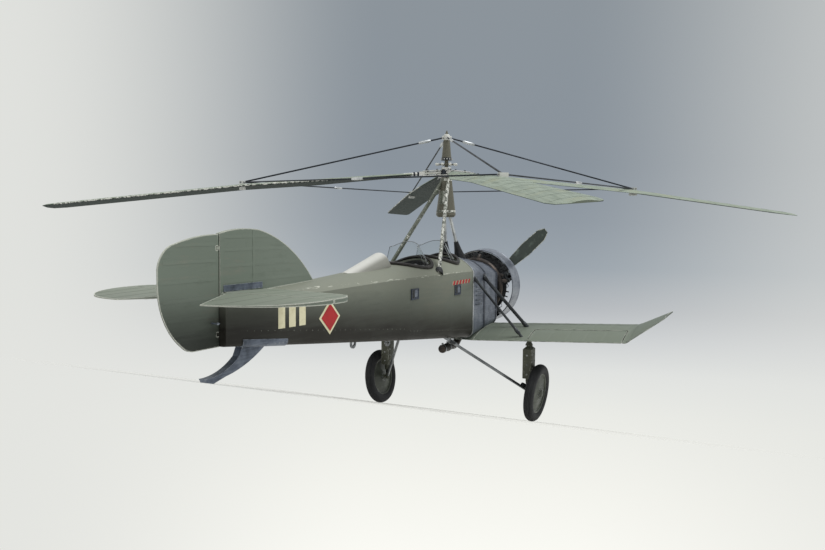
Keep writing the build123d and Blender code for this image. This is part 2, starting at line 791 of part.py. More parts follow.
leg_tube = rod((WHEEL_X, LEG_Y, axle_root.Z - LEG_BELOW_AXLE), (WHEEL_X, LEG_Y, WING_BREAK_TRAIL_Z), LEG_RADIUS)
box_half_x, box_half_y = BOX_LENGTH / 2, BOX_WIDTH / 2
leg_box = block(
    (WHEEL_X - box_half_x, WHEEL_X + box_half_x), (LEG_Y - box_half_y, LEG_Y + box_half_y), (BOX_BOTTOM_Z, BOX_TOP_Z)
)
leg_box = chamfer(leg_box.faces().sort_by(Axis.Z)[-1].edges(), BOX_CHAMFER)
stub_axle = rod(tuple(axle_root), tuple(axle_end), AXLE_RADIUS)
gear_leg = (leg_tube + leg_box + stub_axle) - wing_plain

drag_strut = rod(DRAG_TOP, (WHEEL_X, LEG_Y, axle_root.Z), DRAG_RADIUS, OVERRUN) - gear_leg - hull_outer
drag_strut = biggest(drag_strut)


def wheel_revolve(edges):
    return wheel_plane * revolve(Face(Wire(edges)), Axis.Z)


half_tyre, half_rim, half_hub = TYRE_WIDTH / 2, RIM_WIDTH / 2, HUB_WIDTH / 2
shoulder_r = (RIM_RADIUS + WHEEL_RADIUS) / 2
tyre = wheel_revolve([
    line((RIM_RADIUS, 0, half_rim), (shoulder_r - 30, 0, half_tyre)),
    line((shoulder_r - 30, 0, half_tyre), (shoulder_r + 20, 0, half_tyre)),
    arc((shoulder_r + 20, 0, half_tyre), (WHEEL_RADIUS, 0, 0), (shoulder_r + 20, 0, -half_tyre)),
    line((shoulder_r + 20, 0, -half_tyre), (shoulder_r - 30, 0, -half_tyre)),
    line((shoulder_r - 30, 0, -half_tyre), (RIM_RADIUS, 0, -half_rim)),
    line((RIM_RADIUS, 0, -half_rim), (RIM_RADIUS, 0, half_rim)),
])
bore_r = AXLE_RADIUS + PIN_FIT
wheel = wheel_revolve([
    line((bore_r, 0, half_hub), (HUB_RADIUS, 0, half_hub)),
    line((HUB_RADIUS, 0, half_hub), (HUB_RADIUS, 0, half_rim + DISC_EDGE / 2)),
    line((HUB_RADIUS, 0, half_rim + DISC_EDGE / 2), (RIM_RADIUS - DISC_EDGE, 0, half_rim - DISC_EDGE / 2)),
    line((RIM_RADIUS - DISC_EDGE, 0, half_rim - DISC_EDGE / 2), (RIM_RADIUS, 0, half_rim)),
    line((RIM_RADIUS, 0, half_rim), (RIM_RADIUS, 0, -half_rim)),
    line((RIM_RADIUS, 0, -half_rim), (RIM_RADIUS - DISC_EDGE, 0, -half_rim + DISC_EDGE / 2)),
    line((RIM_RADIUS - DISC_EDGE, 0, -half_rim + DISC_EDGE / 2), (HUB_RADIUS, 0, -half_rim - DISC_EDGE / 2)),
    line((HUB_RADIUS, 0, -half_rim - DISC_EDGE / 2), (HUB_RADIUS, 0, -half_hub)),
    line((HUB_RADIUS, 0, -half_hub), (bore_r, 0, -half_hub)),
    line((bore_r, 0, -half_hub), (bore_r, 0, half_hub)),
])

# Fin and rudder
half_fin = FIN_THICK / 2


def upright(point, y):
    return (point[0], y, point[1])


def upright_arcs(rows, y):
    return [arc(*[upright(point, y) for point in row]) for row in rows]


foot_x, foot_z = FIN_FOOT
fin_edges = upright_arcs(FIN_ARCS, -half_fin) + [
    line((foot_x, -half_fin, FIN_ARCS[-1][2][1]), (foot_x, -half_fin, foot_z)),
    line((foot_x, -half_fin, foot_z), (STERN_X, -half_fin, foot_z)),
    line((STERN_X, -half_fin, foot_z), upright(FIN_ARCS[0][0], -half_fin)),
]
fin = solid_outline(fin_edges, (0, 1, 0), FIN_THICK)
tube_bore = rod((ELEVATOR_HINGE_X, -FAR, ELEVATOR_Z), (ELEVATOR_HINGE_X, FAR, ELEVATOR_Z), TORQUE_TUBE_RADIUS + PIN_FIT)
fin = fin - hull_outer - tube_bore

rudder_edges = upright_arcs(RUDDER_UPPER_ARCS + RUDDER_LOWER_ARCS, -FAR) + [
    line(upright(RUDDER_UPPER_ARCS[-1][2], -FAR), upright(RUDDER_LOWER_ARCS[0][0], -FAR)),
    line(upright(RUDDER_LOWER_ARCS[-1][2], -FAR), (RUDDER_HINGE_X, -FAR, RUDDER_BOTTOM_Z)),
    line((RUDDER_HINGE_X, -FAR, RUDDER_BOTTOM_Z), (RUDDER_HINGE_X, -FAR, RUDDER_TOP_Z)),
]
rudder_plan = solid_outline(rudder_edges, (0, 1, 0), 2 * FAR)
rudder_wedge = extrude(Face(Wire.make_polygon([
    (RUDDER_HINGE_X, RUDDER_NOSE, 0),
    (RUDDER_TRAIL_X, RUDDER_EDGE, 0),
    (RUDDER_TRAIL_X, -RUDDER_EDGE, 0),
    (RUDDER_HINGE_X, -RUDDER_NOSE, 0),
], close=True)), amount=FAR, dir=(0, 0, 1))
rudder_nose = rod((RUDDER_HINGE_X, 0, RUDDER_BOTTOM_Z), (RUDDER_HINGE_X, 0, RUDDER_TOP_Z), RUDDER_NOSE)
rudder = (rudder_plan & rudder_wedge) + rudder_nose
rear_hinge, fin_hinge = [], []
for height in HINGE_HEIGHTS:
    notch_half = LUG_PLATE / 2 + HINGE_GAP
    notch_x = (RUDDER_HINGE_X - LUG_END - HINGE_GAP, STERN_X)
    rudder -= block(notch_x, (-RUDDER_NOSE - 1, RUDDER_NOSE + 1), (height - notch_half, height + notch_half))
    plate = block(
        (RUDDER_HINGE_X, STERN_X), (-LUG_END, LUG_END), (height - LUG_PLATE / 2, height + LUG_PLATE / 2)
    )
    eye = rod((RUDDER_HINGE_X, 0, height - LUG_PLATE / 2), (RUDDER_HINGE_X, 0, height + LUG_PLATE / 2), LUG_END)
    pin = rod((RUDDER_HINGE_X, 0, height - HINGE_PIN_LENGTH), (RUDDER_HINGE_X, 0, height + HINGE_PIN_LENGTH), HINGE_PIN_RADIUS)
    bore_reach = HINGE_PIN_LENGTH + HINGE_GAP
    rudder -= rod((RUDDER_HINGE_X, 0, height - bore_reach), (RUDDER_HINGE_X, 0, height + bore_reach), HINGE_PIN_RADIUS + PIN_FIT)
    (rear_hinge if height < ELEVATOR_Z else fin_hinge).append(plate + eye + pin)
for hinge in fin_hinge:
    fin += hinge
for hinge in rear_hinge:
    rear_fuselage += hinge

# Stabiliser and elevator, left half
stabiliser_rear_x = ELEVATOR_HINGE_X + ELEVATOR_NOSE + HINGE_GAP


def level(point):
    return (*point, 0)


stab_edges = [
    arc(*[level(point) for point in STABILISER_ARC]),
    line(level(STABILISER_ARC[2]), (stabiliser_rear_x, TAIL_HALF_SPAN, 0)),
    line((stabiliser_rear_x, TAIL_HALF_SPAN, 0), (stabiliser_rear_x, half_fin, 0)),
    line((stabiliser_rear_x, half_fin, 0), (STABILISER_LEAD_X, half_fin, 0)),
    line((STABILISER_LEAD_X, half_fin, 0), level(STABILISER_ARC[0])),
]
stab_profile = polygon_xz([
    (stabiliser_rear_x, ELEVATOR_Z - ELEVATOR_NOSE),
    (STABILISER_TIP_X, ELEVATOR_Z - ELEVATOR_NOSE),
    (STABILISER_LEAD_X, ELEVATOR_Z - STABILISER_LEAD_EDGE),
    (STABILISER_LEAD_X, ELEVATOR_Z + STABILISER_LEAD_EDGE),
    (STABILISER_TIP_X, ELEVATOR_Z + ELEVATOR_NOSE),
    (stabiliser_rear_x, ELEVATOR_Z + ELEVATOR_NOSE),
], FAR)
stabiliser_half = (solid_outline(stab_edges, (0, 0, 1), FAR) & stab_profile) - hull_outer
stabiliser_half = biggest(stabiliser_half)

elev_edges = [arc(*[level(point) for point in row]) for row in ELEVATOR_ARCS] + [
    line((ELEVATOR_HINGE_X, TAIL_HALF_SPAN, 0), (ELEVATOR_HINGE_X, ELEVATOR_INNER_Y, 0)),
    line((ELEVATOR_HINGE_X, ELEVATOR_INNER_Y, 0), (ELEVATOR_TRAIL_X, ELEVATOR_CUT_Y, 0)),
]
elev_profile = polygon_xz([
    (ELEVATOR_HINGE_X, ELEVATOR_Z - ELEVATOR_NOSE),
    (ELEVATOR_TRAIL_X, ELEVATOR_Z - ELEVATOR_EDGE),
    (ELEVATOR_TRAIL_X, ELEVATOR_Z + ELEVATOR_EDGE),
    (ELEVATOR_HINGE_X, ELEVATOR_Z + ELEVATOR_NOSE),
], FAR)
elevator_half = solid_outline(elev_edges, (0, 0, 1), FAR) & elev_profile
elevator_half += rod(
    (ELEVATOR_HINGE_X, ELEVATOR_INNER_Y, ELEVATOR_Z), (ELEVATOR_HINGE_X, TAIL_HALF_SPAN, ELEVATOR_Z), ELEVATOR_NOSE
)
torque_tube = rod(
    (ELEVATOR_HINGE_X, -ELEVATOR_INNER_Y, ELEVATOR_Z), (ELEVATOR_HINGE_X, ELEVATOR_INNER_Y, ELEVATOR_Z),
    TORQUE_TUBE_RADIUS, ELEVATOR_NOSE, ELEVATOR_NOSE,
)
elevator = elevator_half + right_of(elevator_half) + torque_tube

# Plates at the fin's foot, over the stabiliser
plate_z = ELEVATOR_Z + ELEVATOR_NOSE + HINGE_GAP / 2
root_plate = block(
    (ROOT_PLATE_REAR_X, ROOT_PLATE_FRONT_X), (half_fin, half_fin + ROOT_PLATE_THICK), (plate_z, plate_z + ROOT_PLATE_HEIGHT)
) - hull_outer

# Tail skid: its sole lies on the ground when parked
park = radians(PARKING_ANGLE)
ground_normal = Vector(sin(park), 0, cos(park))
wheel_dip = WHEEL_RADIUS * sqrt(1 - ground_normal.dot(wheel_axis) ** 2)
ground_level = ground_normal.dot(wheel_centre) - wheel_dip


def ground_z(x):
    return (ground_level - x * sin(park)) / cos(park)


def under_shoe(x):
    return (x, belly_at(x) - SKID_SHOE_THICK)


shoe_layer = hull(SKID_SHOE_FRONT_X, SKID_SHOE_REAR_X, -SKID_SHOE_THICK) - hull_outer
skid_shoe = shoe_layer - line_above(SKID_SHOE_HEIGHT, belly_at, SKID_SHOE_FRONT_X + 1, SKID_SHOE_REAR_X - 1)
toe_front_x = SKID_TOE_X + SKID_SOLE
sole_front = (toe_front_x, ground_z(toe_front_x))
sole_rear = (SKID_TOE_X, ground_z(SKID_TOE_X))
toe_tip = (SKID_TOE_X + SKID_TOE_LIFT[0], sole_rear[1] + SKID_TOE_LIFT[1])
skid_side = -SKID_WIDTH / 2
skid_runs = (
    (SKID_LOWER_END, sole_front),
    (sole_front, sole_rear),
    (sole_rear, toe_tip),
    (SKID_UPPER_END, under_shoe(SKID_ROOT_REAR_X)),
    (under_shoe(SKID_ROOT_REAR_X), under_shoe(SKID_ROOT_FRONT_X)),
)
skid_edges = upright_arcs([
    (under_shoe(SKID_ROOT_FRONT_X), SKID_LOWER_MIDDLE, SKID_LOWER_END),
    (toe_tip, SKID_UPPER_MIDDLE, SKID_UPPER_END),
], skid_side)
skid_edges += [line(upright(a, skid_side), upright(b, skid_side)) for a, b in skid_runs]
tail_skid = solid_outline(skid_edges, (0, 1, 0), SKID_WIDTH) - skid_shoe

# Pylon and spindle
pylon_fairing = Pos(0, 0, PYLON_TOP_Z - PYLON_HEIGHT) * Cone(
    PYLON_BOTTOM_RADIUS, PYLON_TOP_RADIUS, PYLON_HEIGHT, align=(Align.CENTER, Align.CENTER, Align.MIN)
)
pylon_fairing = chamfer(pylon_fairing.edges().sort_by(Axis.Z)[0], PYLON_CHAMFER)


def streamlined(start, end, chord, thick, before, after):
    start, end = Vector(*start), Vector(*end)
    along = (end - start).normalized()
    across = Vector(0, 1, 0).cross(along).normalized()
    base = Plane(start - along * before, x_dir=across, z_dir=along)
    return base * extrude(SlotOverall(chord, thick), amount=(end - start).length + before + after)


deck_block = hull_outer + firewall_plate + bay_outer
rear_leg = streamlined(REAR_LEG_TOP, REAR_LEG_FOOT, REAR_LEG_CHORD, REAR_LEG_THICK, 0, OVERRUN)
rear_leg = rear_leg - pylon_fairing - deck_block - coamings[0] - coamings[1] - screens[1]
rear_leg = biggest(rear_leg)
front_leg = rod(FRONT_LEG_TOP, FRONT_LEG_FOOT, FRONT_LEG_RADIUS, 0, OVERRUN) - pylon_fairing - deck_block
front_leg = biggest(front_leg)
spindle = rod((0, 0, PYLON_TOP_Z), (0, 0, SPINDLE_TOP_Z), SPINDLE_RADIUS)
spindle += rod((0, 0, PYLON_TOP_Z), (0, 0, HUB_BOTTOM_Z - HUB_LIFT), HUB_RADIUS_OUT)

# Rotor head
hub_core = rod((0, 0, HUB_BOTTOM_Z), (0, 0, HUB_TOP_Z), HUB_RADIUS_OUT)
hub_core -= rod((0, 0, HUB_BOTTOM_Z), (0, 0, SPINDLE_TOP_Z + HUB_LIFT), SPINDLE_RADIUS + PIN_FIT)
king_post = rod((0, 0, HUB_TOP_Z), (0, 0, POST_BOTTOM_Z), POST_SHAFT_RADIUS)
king_post += Pos(0, 0, POST_BOTTOM_Z) * Cone(
    POST_BOTTOM_RADIUS, POST_TOP_RADIUS, POST_HEIGHT, align=(Align.CENTER, Align.CENTER, Align.MIN)
)
king_post += Pos(0, 0, POST_TOP_Z) * Cone(
    FINIAL_RADIUS, FINIAL_RADIUS / FINIAL_TAPER, FINIAL_HEIGHT, align=(Align.CENTER, Align.CENTER, Align.MIN)
)
king_post += rod((0, 0, STAR_Z - STAR_THICK / 2), (0, 0, STAR_Z + STAR_THICK / 2), STAR_RADIUS)
for i in range(STAR_PIN_COUNT):
    turn = radians(i * 360 / STAR_PIN_COUNT)
    king_post += rod((0, 0, STAR_Z), (STAR_PIN_REACH * cos(turn), STAR_PIN_REACH * sin(turn), STAR_Z), STAR_PIN_RADIUS)

# Rotor blades, drawn along +X with the leading edge towards +Y
def spar_z(radius):
    inner = (CLAMP_Z - HUB_Z) / CLAMP_RADIUS
    outer = (TIP_DROOP_Z - CLAMP_Z) / (ROTOR_RADIUS - CLAMP_RADIUS)
    if radius <= CLAMP_RADIUS:
        return HUB_Z + inner * radius
    return CLAMP_Z + outer * (radius - CLAMP_RADIUS)


def blade_section(radius, lead, trail, depth, nose):
    pitch = radians(BLADE_PITCH)
    z = spar_z(radius) - depth / 2

    def at(offset):
        return (radius, offset * cos(pitch), z + offset * sin(pitch))

    return airfoil(at(trail), at(lead), UP, depth, nose, BLADE_CROWN, BLADE_EDGE)


blade = skin([blade_section(*row) for row in BLADE_STATIONS])
root_start = (0, 0, HUB_Z)
root_end = (BLADE_START, 0, spar_z(BLADE_START))
root_spar = rod(root_start, root_end, ROOT_SPAR_RADIUS, 0, OVERRUN) - blade - hub_core
root_spar = biggest(root_spar)
root_block = Pos(ROOT_BLOCK_AT, 0, spar_z(ROOT_BLOCK_AT)) * Box(ROOT_BLOCK, ROOT_BLOCK, ROOT_BLOCK_HEIGHT)
hub_arm = root_spar + root_block
clamp = Pos(CLAMP_RADIUS, 0, CLAMP_Z) * Box(CLAMP_LENGTH, CLAMP_WIDTH, CLAMP_HEIGHT) - blade
stay_top = (POST_TOP_RADIUS, 0, POST_TOP_Z - POST_TOP_RADIUS)
stay = rod(stay_top, (CLAMP_RADIUS, 0, CLAMP_Z + CABLE_LIFT), STAY_RADIUS, POST_TOP_RADIUS) - king_post - clamp - blade
stay = biggest(stay)


def azimuth(i):
    return Rot(0, 0, BLADE_AZIMUTH + i * 360 / BLADE_COUNT)


step = 360 / BLADE_COUNT
cable_z = CLAMP_Z + CABLE_LIFT
next_end = (CLAMP_RADIUS * cos(radians(step)), CLAMP_RADIUS * sin(radians(step)), cable_z)
turned = Rot(0, 0, step)
cable = rod((CLAMP_RADIUS, 0, cable_z), next_end, CABLE_RADIUS) - clamp - blade - turned * clamp - turned * blade
cable = biggest(cable)

rotor_hub = hub_core
for i in range(BLADE_COUNT):
    rotor_hub += azimuth(i) * hub_arm

# All nodes, still level
nodes = {
    "cockpit_deck": deck,
    "belly_panel": belly,
    "side_left": side_left,
    "side_right": side_right,
    "firewall": firewall_plate,
    "rear_fuselage": rear_fuselage,
    "rear_bulkhead": bulkhead,
    "cockpit_floor": cockpit_floor,
    "seats": seats,
    "seat_cushions": cushions,
    "control_columns": columns,
    "instrument_panels": [panel_shape(row) for row in COCKPITS],
    "coamings": coamings,
    "windscreens": screens,
    "headrest_fairing": headrest,
    "step_flaps": step_flaps,
    "tiedown_lugs": [tiedown(x) for x in LUG_PLACES],
    "engine_bay": engine_bay,
    "crankcase": crankcase,
    "engine_cylinders": cylinders,
    "ring_cowl": ring_cowl,
    "exhaust": exhaust,
    "propeller": propeller,
    "wing_centre": wing_centre,
    "wing_left": wing_left,
    "wing_right": right_of(wing_left),
    "aileron_left": aileron_left,
    "aileron_right": right_of(aileron_left),
    "wing_struts_left": wing_struts,
    "wing_struts_right": [right_of(strut) for strut in wing_struts],
    "gear_leg_left": gear_leg,
    "gear_leg_right": right_of(gear_leg),
    "drag_strut_left": drag_strut,
    "drag_strut_right": right_of(drag_strut),
    "tyre_left": tyre,
    "tyre_right": right_of(tyre),
    "wheel_left": wheel,
    "wheel_right": right_of(wheel),
    "fin": fin,
    "rudder": rudder,
    "stabiliser": [stabiliser_half, right_of(stabiliser_half)],
    "elevator": elevator,
    "fin_root_plates": [root_plate, right_of(root_plate)],
    "skid_bracket": skid_shoe,
    "tail_skid": tail_skid,
    "pylon_fairing": pylon_fairing,
    "pylon_rear_legs": [rear_leg, right_of(rear_leg)],
    "pylon_front_legs": [front_leg, right_of(front_leg)],
    "rotor_spindle": spindle,
    "rotor_hub": rotor_hub,
    "king_post": king_post,
    "stay_clamps": [azimuth(i) * clamp for i in range(BLADE_COUNT)],
    "rotor_stays": [azimuth(i) * stay for i in range(BLADE_COUNT)],
    "lag_cables": [azimuth(i) * cable for i in range(BLADE_COUNT)],
}
for i in range(BLADE_COUNT):
    nodes[f"rotor_blade_{i + 1}"] = azimuth(i) * blade


# Parked: tipped back, with the ground at Z = 0 and the middle of the whole at X = Y = 0
def solids_in(shape):
    if isinstance(shape, (list, tuple)):
        return [solid for item in shape for solid in solids_in(item)]
    return list(shape.solids())


tip_back = Rot(0, -PARKING_ANGLE, 0)
parked = {name: [tip_back * solid for solid in solids_in(shape)] for name, shape in nodes.items()}
reach = Compound([solid for solids in parked.values() for solid in solids]).bounding_box()
seat_on_ground = Pos(-reach.center().X, 0, -ground_level)

if __name__ == "__main__":
    for name, solids in parked.items():
        placed = [seat_on_ground * solid for solid in solids]
        export_step(Compound(placed) if len(placed) > 1 else placed[0], f"parts/{name}.step")
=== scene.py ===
import bpy, bmesh, json, math
from mathutils import Euler, Matrix, Vector
from mathutils.bvhtree import BVHTree


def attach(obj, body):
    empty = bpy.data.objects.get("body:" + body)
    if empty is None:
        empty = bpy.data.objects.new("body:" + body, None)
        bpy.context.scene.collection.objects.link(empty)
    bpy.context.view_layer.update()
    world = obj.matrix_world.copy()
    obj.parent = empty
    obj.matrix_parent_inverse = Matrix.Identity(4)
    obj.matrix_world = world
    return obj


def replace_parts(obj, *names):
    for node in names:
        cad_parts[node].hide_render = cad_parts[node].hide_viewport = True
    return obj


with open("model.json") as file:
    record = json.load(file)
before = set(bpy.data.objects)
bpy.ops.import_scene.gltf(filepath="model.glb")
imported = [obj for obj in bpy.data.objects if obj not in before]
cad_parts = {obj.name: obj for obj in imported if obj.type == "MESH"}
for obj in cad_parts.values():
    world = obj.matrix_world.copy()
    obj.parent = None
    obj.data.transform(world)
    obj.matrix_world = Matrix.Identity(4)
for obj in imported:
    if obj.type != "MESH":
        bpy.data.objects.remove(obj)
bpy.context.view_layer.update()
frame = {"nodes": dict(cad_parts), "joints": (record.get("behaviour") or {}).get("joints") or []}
nodes = frame["nodes"]
scene = bpy.context.scene
print("frame loaded:", len(nodes), "nodes")

# The machine is drawn level, with x ahead of the rotor axis, y to the left and z up, in metres.
# It is parked on its tail skid, so every place below is turned into the parked frame.
rotorHubHeight = 3.921
joints = {j["name"]: j for j in frame["joints"]}
rigUp = Vector(joints["rotor_spin"]["axis"]).normalized()
rigForward = Vector((rigUp.z, 0, -rigUp.x))
rigOrigin = Vector(joints["rotor_spin"]["pos_m"]) - rigUp * rotorHubHeight
rigTurn = Matrix((rigForward, (0, 1, 0), rigUp)).transposed()
toRig = rigTurn.transposed()
rigToParked = Matrix.Translation(rigOrigin) @ rigTurn.to_4x4()
parkedToRig = rigToParked.inverted()

# Camera, seen as in the photograph, lifted just above the floor on which the parked tail rests
cameraPlace = {
    "at": (-11.5465, -5.1947, 3.1323),
    "yaw": math.radians(26.5789),
    "pitch": math.radians(-3.8286),
    "roll": math.radians(0.5060),
    "lens": 34.703,
}


def makeCamera(place):
    data = bpy.data.cameras.new("camera")
    data.lens, data.sensor_width = place["lens"], 36.0
    ahead = Vector((math.cos(place["yaw"]), math.sin(place["yaw"]), 0)) * math.cos(place["pitch"])
    ahead.z = math.sin(place["pitch"])
    level = ahead.cross(Vector((0, 0, 1))).normalized()
    upright = level.cross(ahead)
    cosRoll, sinRoll = math.cos(place["roll"]), math.sin(place["roll"])
    right = level * cosRoll + upright * sinRoll
    top = upright * cosRoll - level * sinRoll
    turn = rigTurn @ Matrix((right, top, -ahead)).transposed()
    camera = bpy.data.objects.new("camera", data)
    camera.matrix_world = Matrix.Translation(rigToParked @ Vector(place["at"])) @ turn.to_4x4()
    data.clip_start, data.clip_end = 0.05, 400.0
    scene.collection.objects.link(camera)
    scene.camera = camera


makeCamera(cameraPlace)
print("camera set")


def linear(text):
    parts = [int(text[i : i + 2], 16) / 255 for i in (1, 3, 5)]
    return tuple(p / 12.92 if p < 0.04045 else ((p + 0.055) / 1.055) ** 2.4 for p in parts) + (1.0,)


# sets sockets by name or number, each to a value or from an output
def feed(tree, node, sockets):
    for key, value in sockets.items():
        if isinstance(value, bpy.types.NodeSocket):
            tree.links.new(value, node.inputs[key])
        else:
            node.inputs[key].default_value = value


# one function adds a node: settings by name, sockets by name or number, and the stops of a ramp;
# it gives the output that is asked for, or else the first one in use
def add(tree, kind, sockets=None, stops=None, out=None, **settings):
    node = tree.nodes.new("ShaderNode" + kind)
    for key, value in settings.items():
        setattr(node, key, value)
    feed(tree, node, sockets or {})
    for i, (place, value) in enumerate(stops or ()):
        ramp = node.color_ramp.elements
        stop = ramp[i] if i < 2 else ramp.new(place)
        stop.position = place
        stop.color = linear(value)
    return node.outputs[out] if out else next(o for o in node.outputs if o.enabled)


def noise(tree, where, scale, detail, rough=0.5):
    return add(tree, "TexNoise", {"Vector": where, "Scale": scale, "Detail": detail, "Roughness": rough})


# carries a value from one span to another, easing in and out if it is to be soft
def span(tree, value, low, high, to=(0, 1), soft=False):
    sockets = {"Value": value, "From Min": low, "From Max": high, "To Min": to[0], "To Max": to[1]}
    return add(tree, "MapRange", sockets, interpolation_type="SMOOTHSTEP" if soft else "LINEAR")


def combine(tree, operation, *values):
    return add(tree, "Math", dict(enumerate(values)), operation=operation)


def mixed(tree, share, under, over):
    return add(tree, "Mix", {0: share, 6: under, 7: over}, data_type="RGBA")


# every finish starts with the machine's own level axes, or with a rotor blade's, turned by its azimuth
def startFinish(name, azimuth=0.0):
    mat = bpy.data.materials.new(name)
    mat.use_nodes = True
    tree = mat.node_tree
    turn = Matrix.Rotation(-azimuth, 3, "Z") @ toRig
    seat = add(tree, "TexCoord", out="Object")
    place = add(tree, "Mapping", {"Vector": seat, "Location": -(turn @ rigOrigin),
                                  "Rotation": turn.to_euler()})
    return mat, tree, tree.nodes["Principled BSDF"], place


# Studio: a pale paper floor that melts into a pale backdrop, grey-blue higher up and paler to the left.
# columns of the backdrop: height in the machine's level axes, from 0.4 below, and its colour
studio = {
    "floorRadius": 7.0, "fadeFrom": 2.0, "fadeTo": 6.5, "floorClear": 0.45, "floor": "#e4e4e0",
    "backdrop": ((0.0, "#fbfbf5"), (1.0, "#d9dde0"), (0.08, "#f4f4ee"), (0.17, "#eaebe6"),
                 (0.22, "#e0e2e0"), (0.26, "#cccfd1"), (0.295, "#b7bbbf"), (0.345, "#9ca5ad"),
                 (0.40, "#919aa3"), (0.47, "#8a939c"), (0.68, "#8c949b")),
    "left": "#e3e4e0", "skyLight": 0.60, "sunLight": 1.75, "sunAngle": 30.0, "sunTurn": (24.0, -10.0),
}


def makeStudio(look):
    bm = bmesh.new()
    bmesh.ops.create_circle(bm, cap_ends=True, segments=96, radius=look["floorRadius"])
    mesh = bpy.data.meshes.new("floor")
    bm.to_mesh(mesh)
    bm.free()
    floor = bpy.data.objects.new("floor", mesh)
    scene.collection.objects.link(floor)
    mat = bpy.data.materials.new("paperFloor")  # matt backdrop paper, no grain at this distance
    mat.use_nodes = True
    tree = mat.node_tree
    bsdf = tree.nodes["Principled BSDF"]
    bsdf.inputs["Base Color"].default_value = linear(look["floor"])
    feed(tree, bsdf, {"Roughness": 0.95, "Specular IOR Level": 0.1})
    away = add(tree, "VectorMath", {0: add(tree, "TexCoord", out="Object")}, operation="LENGTH")
    fade = span(tree, away, look["fadeFrom"], look["fadeTo"], (look["floorClear"], 1), soft=True)
    clear = add(tree, "BsdfTransparent")
    both = add(tree, "MixShader", {0: fade, 1: bsdf.outputs[0], 2: clear})
    tree.links.new(both, tree.nodes["Material Output"].inputs["Surface"])
    mesh.materials.append(mat)

    world = bpy.data.worlds.new("studio")
    scene.world = world
    world.use_nodes = True
    tree = world.node_tree
    # the backdrop is shaded in the machine's level axes: by height, and from left to right of the view
    level = add(tree, "Mapping", {"Vector": add(tree, "TexCoord", out="Generated"),
        "Rotation": toRig.to_euler()})
    aim = add(tree, "SeparateXYZ", {0: level}).node
    height = span(tree, aim.outputs["Z"], -0.4, 0.6)
    shade = add(tree, "ValToRGB", {"Fac": height}, look["backdrop"])
    yaw = cameraPlace["yaw"]
    beside = add(tree, "VectorMath", {0: level, 1: (-math.sin(yaw), math.cos(yaw), 0)},
                 operation="DOT_PRODUCT")
    leftward = span(tree, beside, 0.03, 0.46, (0, 0.95), soft=True)
    rightward = span(tree, beside, -0.18, -0.56, (0, 0.6), soft=True)
    pale = combine(tree, "MAXIMUM", leftward, rightward)
    tone = mixed(tree, pale, shade, linear(look["left"]))
    seen = add(tree, "Background", {"Color": tone, "Strength": 1.0})
    light = add(tree, "Background", {"Color": linear("#fbfaf7"), "Strength": look["skyLight"]})
    ray = add(tree, "LightPath").node
    mirrored = combine(tree, "MAXIMUM", ray.outputs["Is Camera Ray"], ray.outputs["Is Glossy Ray"])
    through = combine(tree, "MAXIMUM", mirrored, ray.outputs["Is Transmission Ray"])
    pick = add(tree, "MixShader", {0: through, 1: light, 2: seen})
    tree.links.new(pick, tree.nodes["World Output"].inputs["Surface"])

    sun = bpy.data.lights.new("softbox", "SUN")
    sun.energy, sun.angle = look["sunLight"], math.radians(look["sunAngle"])
    lamp = bpy.data.objects.new("softbox", sun)
    lean, swing = (math.radians(a) for a in look["sunTurn"])
    lamp.rotation_euler = Euler((lean, swing, 0))
    scene.collection.objects.link(lamp)
    scene.view_settings.view_transform = "Standard"


makeStudio(studio)
print("studio set")


